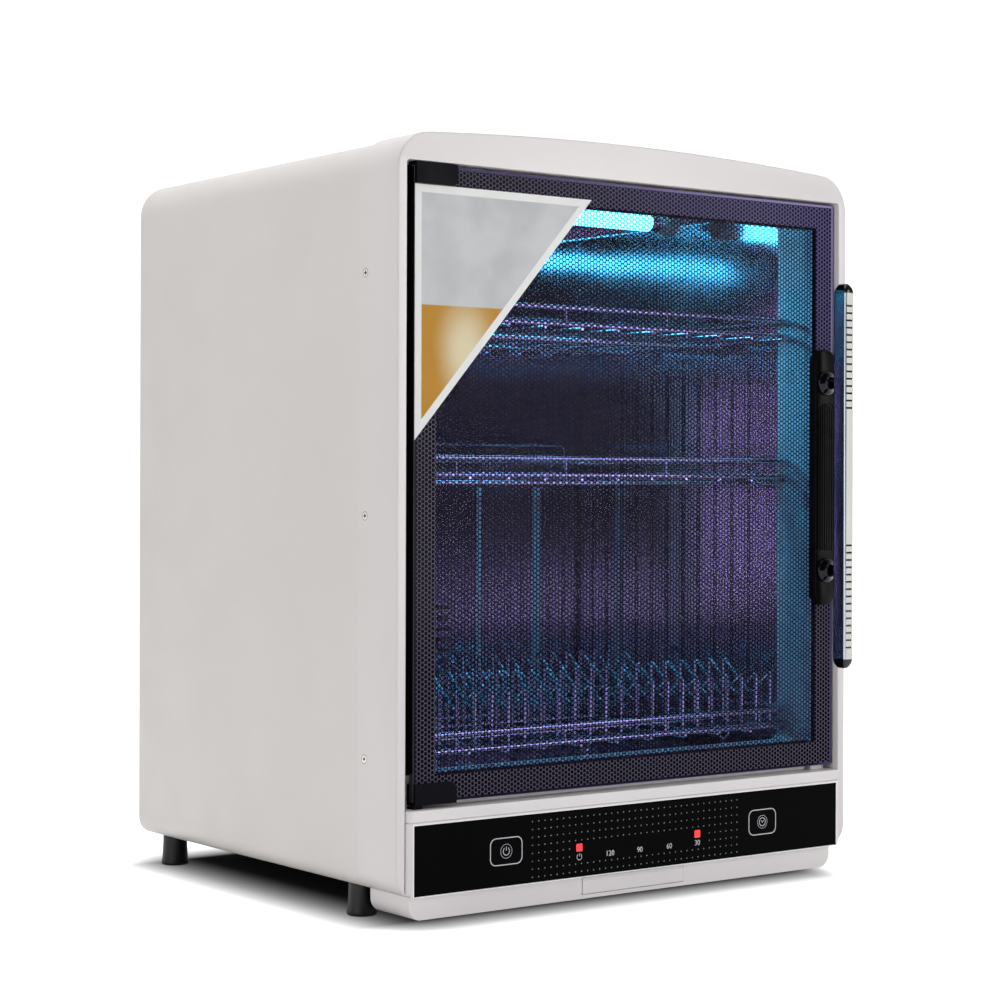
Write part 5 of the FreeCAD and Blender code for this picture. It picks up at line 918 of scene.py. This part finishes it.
def make_handle_bar():
    """The bar with its step for the light strip, the strip between its grip slots, domed caps."""
    x = HANDLE_X
    low, high = BAR_LOW + BAR_CAP, BAR_HIGH - BAR_CAP

    def level(outline, z):
        return [P(px, d, z) for px, d in outline]

    whole = rounded(x - BAR_HALF, x + BAR_HALF, BAR_FRONT, BAR_BACK, (BAR_ROUND,) * 4, 6)
    # the same outline with the front right stepped back for the strip
    step, left, right = BAR_FRONT + STRIP_DEEP, x + STRIP_LEFT, x + BAR_HALF
    stepped = [p for p in whole[:7] if p[0] <= left + 1e-6]
    stepped += [(left, BAR_FRONT + 0.25), (left, step), (right - 1.0, step), (right - 0.6, step + 0.3),
                (right - 0.1, BAR_FRONT + BAR_ROUND)] + whole[14:]
    shell = Shell()
    shell.solid([level(stepped, low), level(stepped, high)])
    bar = piece("handle_stepped_bar", shell, [BAR, GLOSS_BLACK], "door", "handle_black", 25.0,
                "handle_bar")
    for polygon in bar.data.polygons:
        if polygon.normal.y < -0.9 and polygon.center.y > Y(BAR_FRONT + 0.5):
            polygon.material_index = 1
    # the strip, cut by slots through which the bar shows
    strip = [(left + 0.05, step - 0.02), (left + 0.05, BAR_FRONT + 0.2), (left + 0.25, BAR_FRONT)]
    strip += arc(right - BAR_ROUND, BAR_FRONT + BAR_ROUND, BAR_ROUND, 270, 360, 6)
    strip += [(right - 0.08, BAR_FRONT + BAR_ROUND + 0.02), (right - 0.55, step + 0.28),
              (right - 1.0, step - 0.02)]
    cuts = [low + GRIPS_ABOVE + GRIP_PITCH * index for index in range(GRIPS)]
    cuts += [high - GRIPS_BELOW - GRIP_PITCH * index for index in range(GRIPS)]
    edges = [low]
    for z in sorted(cuts):
        edges += [z - GRIP_HALF, z + GRIP_HALF]
    edges.append(high)
    shell = Shell()
    for first, last in zip(edges[::2], edges[1::2]):
        shell.solid([level(strip, first), level(strip, last)])
    piece("handle_light_strip", shell, WHITE, "door", "handle_light", 25.0, "handle_inlay")
    shell = Shell()
    for end, way in ((high, 1), (low, -1)):
        rings = []
        for index in range(9):
            t = math.sin(math.pi / 2 * index / 8)
            inset = 4.4 * (1 - math.sqrt(max(1 - t * t, 0.0)))
            corner = min(BAR_ROUND + 1.2 * t, BAR_HALF - inset - 0.1)
            outline = rounded(x - BAR_HALF + inset, x + BAR_HALF - inset, BAR_FRONT + inset,
                              BAR_BACK - inset, (corner,) * 4, 6)
            rings.append(level(outline, end + way * BAR_CAP * t))
        shell.solid(rings)
    piece("handle_domed_caps", shell, GLOSS_BLACK, "door", "handle_black", 50.0, "handle_caps")


for make in (make_frame, make_casing, make_housing, make_hinge_strip, make_feet, make_pane,
             make_racks, make_lamp, make_handle):
    make()


# Control panel print: keys, dots and numbers, all lying on the glass

PRINT = painted("panel_print", (214, 216, 220), (198, 201, 206), 0.3, 900.0, 0.000002)
DOTS = painted("panel_dots", (150, 150, 152), (132, 132, 134), 0.3, 900.0, 0.000002)


def flat_strip(shell, outline, width):
    """A printed line: an outline drawn with a width, standing a little in front of the glass."""
    front, back = GLASS_FACE - 0.05, GLASS_FACE + 0.02
    inner = offset(outline, width)
    shell.rings([facing(outline, front), facing(inner, front), facing(inner, back),
                 facing(outline, back)], loop=True)


def flat_patch(shell, outline, lift=0.05):
    shell.solid([facing(outline, GLASS_FACE - lift), facing(outline, GLASS_FACE + 0.02)])


def circle(x, z, radius, steps=28):
    return arc(x, z, radius, 0, 360, steps)[:-1]


def power_icon(shell, x, z, radius, width):
    """A printed ring open at its top, with an upright stroke in the gap."""
    gap, half = 35, width / 2
    flat_patch(shell, arc(x, z, radius, 90 + gap, 450 - gap, 24)
               + arc(x, z, radius - width, 450 - gap, 90 + gap, 24))
    low, high = z + radius * 0.15, z + radius * 1.1
    flat_patch(shell, [(x - half, low), (x + half, low), (x + half, high), (x - half, high)])


LIGHT_X = (-62.4, 61.8)
KEY_X, KEY_Z, KEY_HALF, KEY_TALL = 134.6, 53.9, 15.6, 10.7
NUMBERS = (("120", -31.0), ("90", 0.1), ("60", 31.4), ("30", 61.8))
NUMBER_Z, NUMBER_SIZE = 42.7, 0.0060
DOT_LEFT, DOT_LOW, DOT_STEP, DOT_RISE, DOT_COLUMNS, DOT_ROWS = -109.2, 31.2, 6.14, 6.2, 36, 8
HIGHLIGHT_HALF, HIGHLIGHT_LOW, HIGHLIGHT_HIGH = 221.9, 26.2, 81.3


def make_marks():
    """The keys' outlines, a power sign and a timer sign in them, and a sign under the first light."""
    shell = Shell()
    for x in (-KEY_X, KEY_X):
        key = rounded(x - KEY_HALF, x + KEY_HALF, KEY_Z - KEY_TALL, KEY_Z + KEY_TALL, (5.5,) * 4, 7)
        flat_strip(shell, key, 0.7)
        flat_strip(shell, circle(x, KEY_Z, 5.6), 0.28)
    power_icon(shell, -KEY_X, KEY_Z, 3.3, 0.55)
    flat_strip(shell, circle(KEY_X, KEY_Z, 3.7), 0.55)
    for hand in (((-1.3, 0.9), (0.0, -0.9), (0.0, -0.2), (-1.0, 1.3)),
                 ((0.0, -0.9), (1.7, 1.3), (1.3, 1.5), (0.0, -0.2))):
        flat_patch(shell, [(KEY_X + x, KEY_Z + z) for x, z in hand])
    power_icon(shell, LIGHT_X[0], 42.8, 2.6, 0.42)
    piece("panel_marks", shell, PRINT, "cabinet", "panel_black", 30.0)


def make_print():
    make_marks()
    shell = Shell()
    for row in range(DOT_ROWS):
        for column in range(DOT_COLUMNS):
            # the lights and numbers lie in a field without dots
            if row in (2, 3) and 6 < column < 30:
                continue
            dot = circle(DOT_LEFT + column * DOT_STEP, DOT_LOW + row * DOT_RISE, 0.5, 6)
            flat_patch(shell, dot, 0.03)
    piece("panel_dot_field", shell, DOTS, "cabinet", "panel_black", 30.0)
    for index, x in enumerate(LIGHT_X):
        shell = Shell()
        flat_patch(shell, rounded(x - 3.1, x + 3.1, 47.0, 53.2, (0.9,) * 4, 4), 0.06)
        piece(f"panel_light_{index + 1}", shell, LIGHT_RED, "cabinet", "light_red", 30.0)
    # painted highlight: a white line round the glass where its edge catches the light
    shell = Shell()
    flat_strip(shell, [(-HIGHLIGHT_HALF, HIGHLIGHT_LOW), (HIGHLIGHT_HALF, HIGHLIGHT_LOW), (HIGHLIGHT_HALF, HIGHLIGHT_HIGH),
                       (-HIGHLIGHT_HALF, HIGHLIGHT_HIGH)], 0.8)
    piece("panel_painted_edge_highlight", shell, PANEL_EDGE_HIGHLIGHT, "cabinet", "housing_plastic", 30.0)
    for text, x in NUMBERS:
        curve = bpy.data.curves.new("number_" + text, "FONT")
        curve.body = text
        curve.size = NUMBER_SIZE
        curve.align_x = curve.align_y = "CENTER"
        curve.extrude = 0.00003
        number = link("number_" + text, curve)
        number.location = P(x, GLASS_FACE - 0.03, NUMBER_Z)
        number.rotation_euler = (math.pi / 2, 0, 0)
        bpy.context.view_layer.update()
        mesh = bpy.data.meshes.new_from_object(number)
        mesh.transform(number.matrix_world)
        bpy.data.objects.remove(number)
        place_mesh("panel_number_" + text, mesh, PRINT, "cabinet", 30.0)


make_print()


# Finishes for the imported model's own nodes

FINISHES = (
    (ZINC, "touch_pads rear_panel bottom_plate tray_guides liner_supports air_duct ballast "
           "magnet_strike side_brackets"),
    (BLACK, "thermal_cutout fan_housing fan_motor fan_impeller door_switch cord_gland"),
    (WHITE, "drain_spout lamp_holders switch_plunger magnet_catch"),
    (CLAMP, "upper_pivot_bush lower_pivot_bush upper_hinge_clamp lower_hinge_clamp"),
    (HOUSING, "plinth drip_tray"), (STEEL, "liner rack_rails"), (MIRROR, "lamp_reflector heater"),
    (BOARD, "control_board power_board"), (SCREEN, "control_glass"), (SEAL, "door_seal"),
    (LIGHT_RED, "indicator_lights"), (LABEL, "door_label"), (DARK_CHROME, "hinge_pins"),
)
for finish, names in FINISHES:
    for name in names.split():
        materials = NODES[name].data.materials
        materials.clear()
        materials.append(finish)


# Stage, light and camera


def rays(g, *kinds):
    """1 for rays of the kinds named, as Light Path calls them."""
    path = g.node("ShaderNodeLightPath")
    outputs = [path.outputs[kind] for kind in kinds]
    return g.math("MAXIMUM", *outputs) if len(outputs) > 1 else outputs[0]


def stage_material():
    """Pale paper that turns to plain white away from the object, with a painted shadow that makes it
    dark in the gap under it.
    """
    g = Graph("studio_paper")
    x, y, _ = g.xyz()
    left = g.ramp(x, -0.262, -0.176, 1.0, 0.0, False)
    right = g.ramp(x, 0.205, 0.250, 0.0, 1.0, False)
    front = g.ramp(y, Y(-26.0), Y(38.0), 1.0, 0.0, False)
    rear = g.ramp(y, Y(CASING_BACK - 10.0), Y(CASING_BACK + 50.0), 0.0, 1.0, False)
    away = g.math("ADD", g.math("POWER", left, 2.0), g.math("POWER", right, 2.0), front, rear,
                  clamp=True)
    # painted shadow: the paper's colour is dark under and near the object
    shade = g.mix(away, (0.03, 0.03, 0.03, 1), (0.87, 0.87, 0.87, 1))
    cloud = g.ramp(g.noise(3.0), 0.3, 0.7, 0.0, 0.02)
    paper = g.node("ShaderNodeBsdfDiffuse")
    g.feed(paper.inputs["Color"], g.mix(cloud, shade, (0.8, 0.8, 0.8, 1)))
    white = g.node("ShaderNodeEmission")
    seen = rays(g, "Is Camera Ray", "Is Glossy Ray", "Is Transmission Ray")
    g.feed(white.inputs["Strength"], g.times(away, g.ramp(away, 0.5, 1.0, 0.8, 1.0), seen))
    both = g.node("ShaderNodeAddShader")
    g.feed(both.inputs[0], paper.outputs[0])
    g.feed(both.inputs[1], white.outputs[0])
    return g.finish(both.outputs[0])


def make_floor():
    """A level floor that curves up into a backdrop."""
    rows, left, right, front, bend, radius, top = 24, -7.0, 9.0, -6.0, 4.5, 2.5, 7.0
    line = []
    for index in range(rows + 1):
        t = index / rows
        angle = max(t - 0.7, 0.0) / 0.3 * math.pi / 2
        level = front + (bend - front) * min(t / 0.7, 1.0)
        line.append((level + radius * math.sin(angle), radius * (1 - math.cos(angle))))
    line.append((bend + radius, top))
    points = [(x, y, z) for y, z in line for x in (left, right)]
    faces = [(2 * i, 2 * i + 1, 2 * i + 3, 2 * i + 2) for i in range(rows + 1)]
    floor = bpy.data.meshes.new("floor")
    floor.from_pydata(points, [], faces)
    floor.materials.append(stage_material())
    link("studio_floor", floor)


def make_world():
    """A room that is bright round and behind the object and dim in front of it."""
    g = Graph("studio", world=True)
    y = g.xyz()[1]
    soft = g.node("ShaderNodeBackground")
    soft.inputs["Color"].default_value = (0.97, 0.98, 1.0, 1)
    g.feed(soft.inputs["Strength"], g.ramp(y, -0.75, 0.1, 0.10, 0.50, False))
    white = g.node("ShaderNodeBackground")
    white.inputs["Strength"].default_value = 1.0
    # camera rays see white everywhere, glossy and transmission rays see it behind the object
    behind = g.ramp(y, -0.3, 0.2, 0.0, 1.0, False)
    part = g.times(rays(g, "Is Glossy Ray", "Is Transmission Ray"), behind)
    share = g.math("MAXIMUM", rays(g, "Is Camera Ray"), part)
    bpy.context.scene.world = g.finish(g.blend(share, soft.outputs[0], white.outputs[0]))


def lamp(name, place, target, size, power, colour=(1, 1, 1)):
    data = bpy.data.lights.new(name, "AREA")
    data.shape = "RECTANGLE"
    data.size, data.size_y = size
    data.energy = power
    data.color = colour
    obj = link(name, data)
    obj.location = place
    obj.rotation_euler = (Vector(target) - Vector(place)).to_track_quat("-Z", "Y").to_euler()
    return obj


def make_lights():
    lamp("key_right", (1.9, -3.0, 0.9), (0, 0, 0.25), (1.5, 1.8), 53)
    lamp("fill_left", (-3.0, -1.2, 1.0), (0, 0, 0.3), (1.8, 1.8), 23)
    lamp("top_soft", (-0.2, 0.4, 2.7), (0, 0, 0.3), (2.2, 2.2), 34)
    # the tube's light, sent down from just under the tube
    tube_light = lamp("tube_light", P(0, 164, 562), P(0, 164, 100), (0.29, 0.014), 1.3,
                      (0.08, 0.82, 1.0))
    tube_light.visible_camera = False
    tube_light.visible_glossy = False


def make_camera():
    """The camera that the photograph's straight edges gave."""
    data = bpy.data.cameras.new("camera")
    data.sensor_width = 36.0
    data.lens = 83.854
    data.shift_y = -0.016132
    data.clip_start, data.clip_end = 0.05, 50
    camera = link("camera", data)
    forward = Vector((0.5985, 0.8012, 0.0)).normalized()
    turn = forward.to_track_quat("-Z", "Y").to_matrix().to_4x4()
    roll = Matrix.Rotation(math.radians(0.1702), 4, "Z")
    camera.matrix_world = Matrix.Translation((-1.21494, -1.63135, 0.33735)) @ turn @ roll
    bpy.context.scene.camera = camera


make_floor()
make_world()
make_lights()
make_camera()
bpy.context.scene.view_settings.view_transform = "Standard"
bpy.context.view_layer.update()
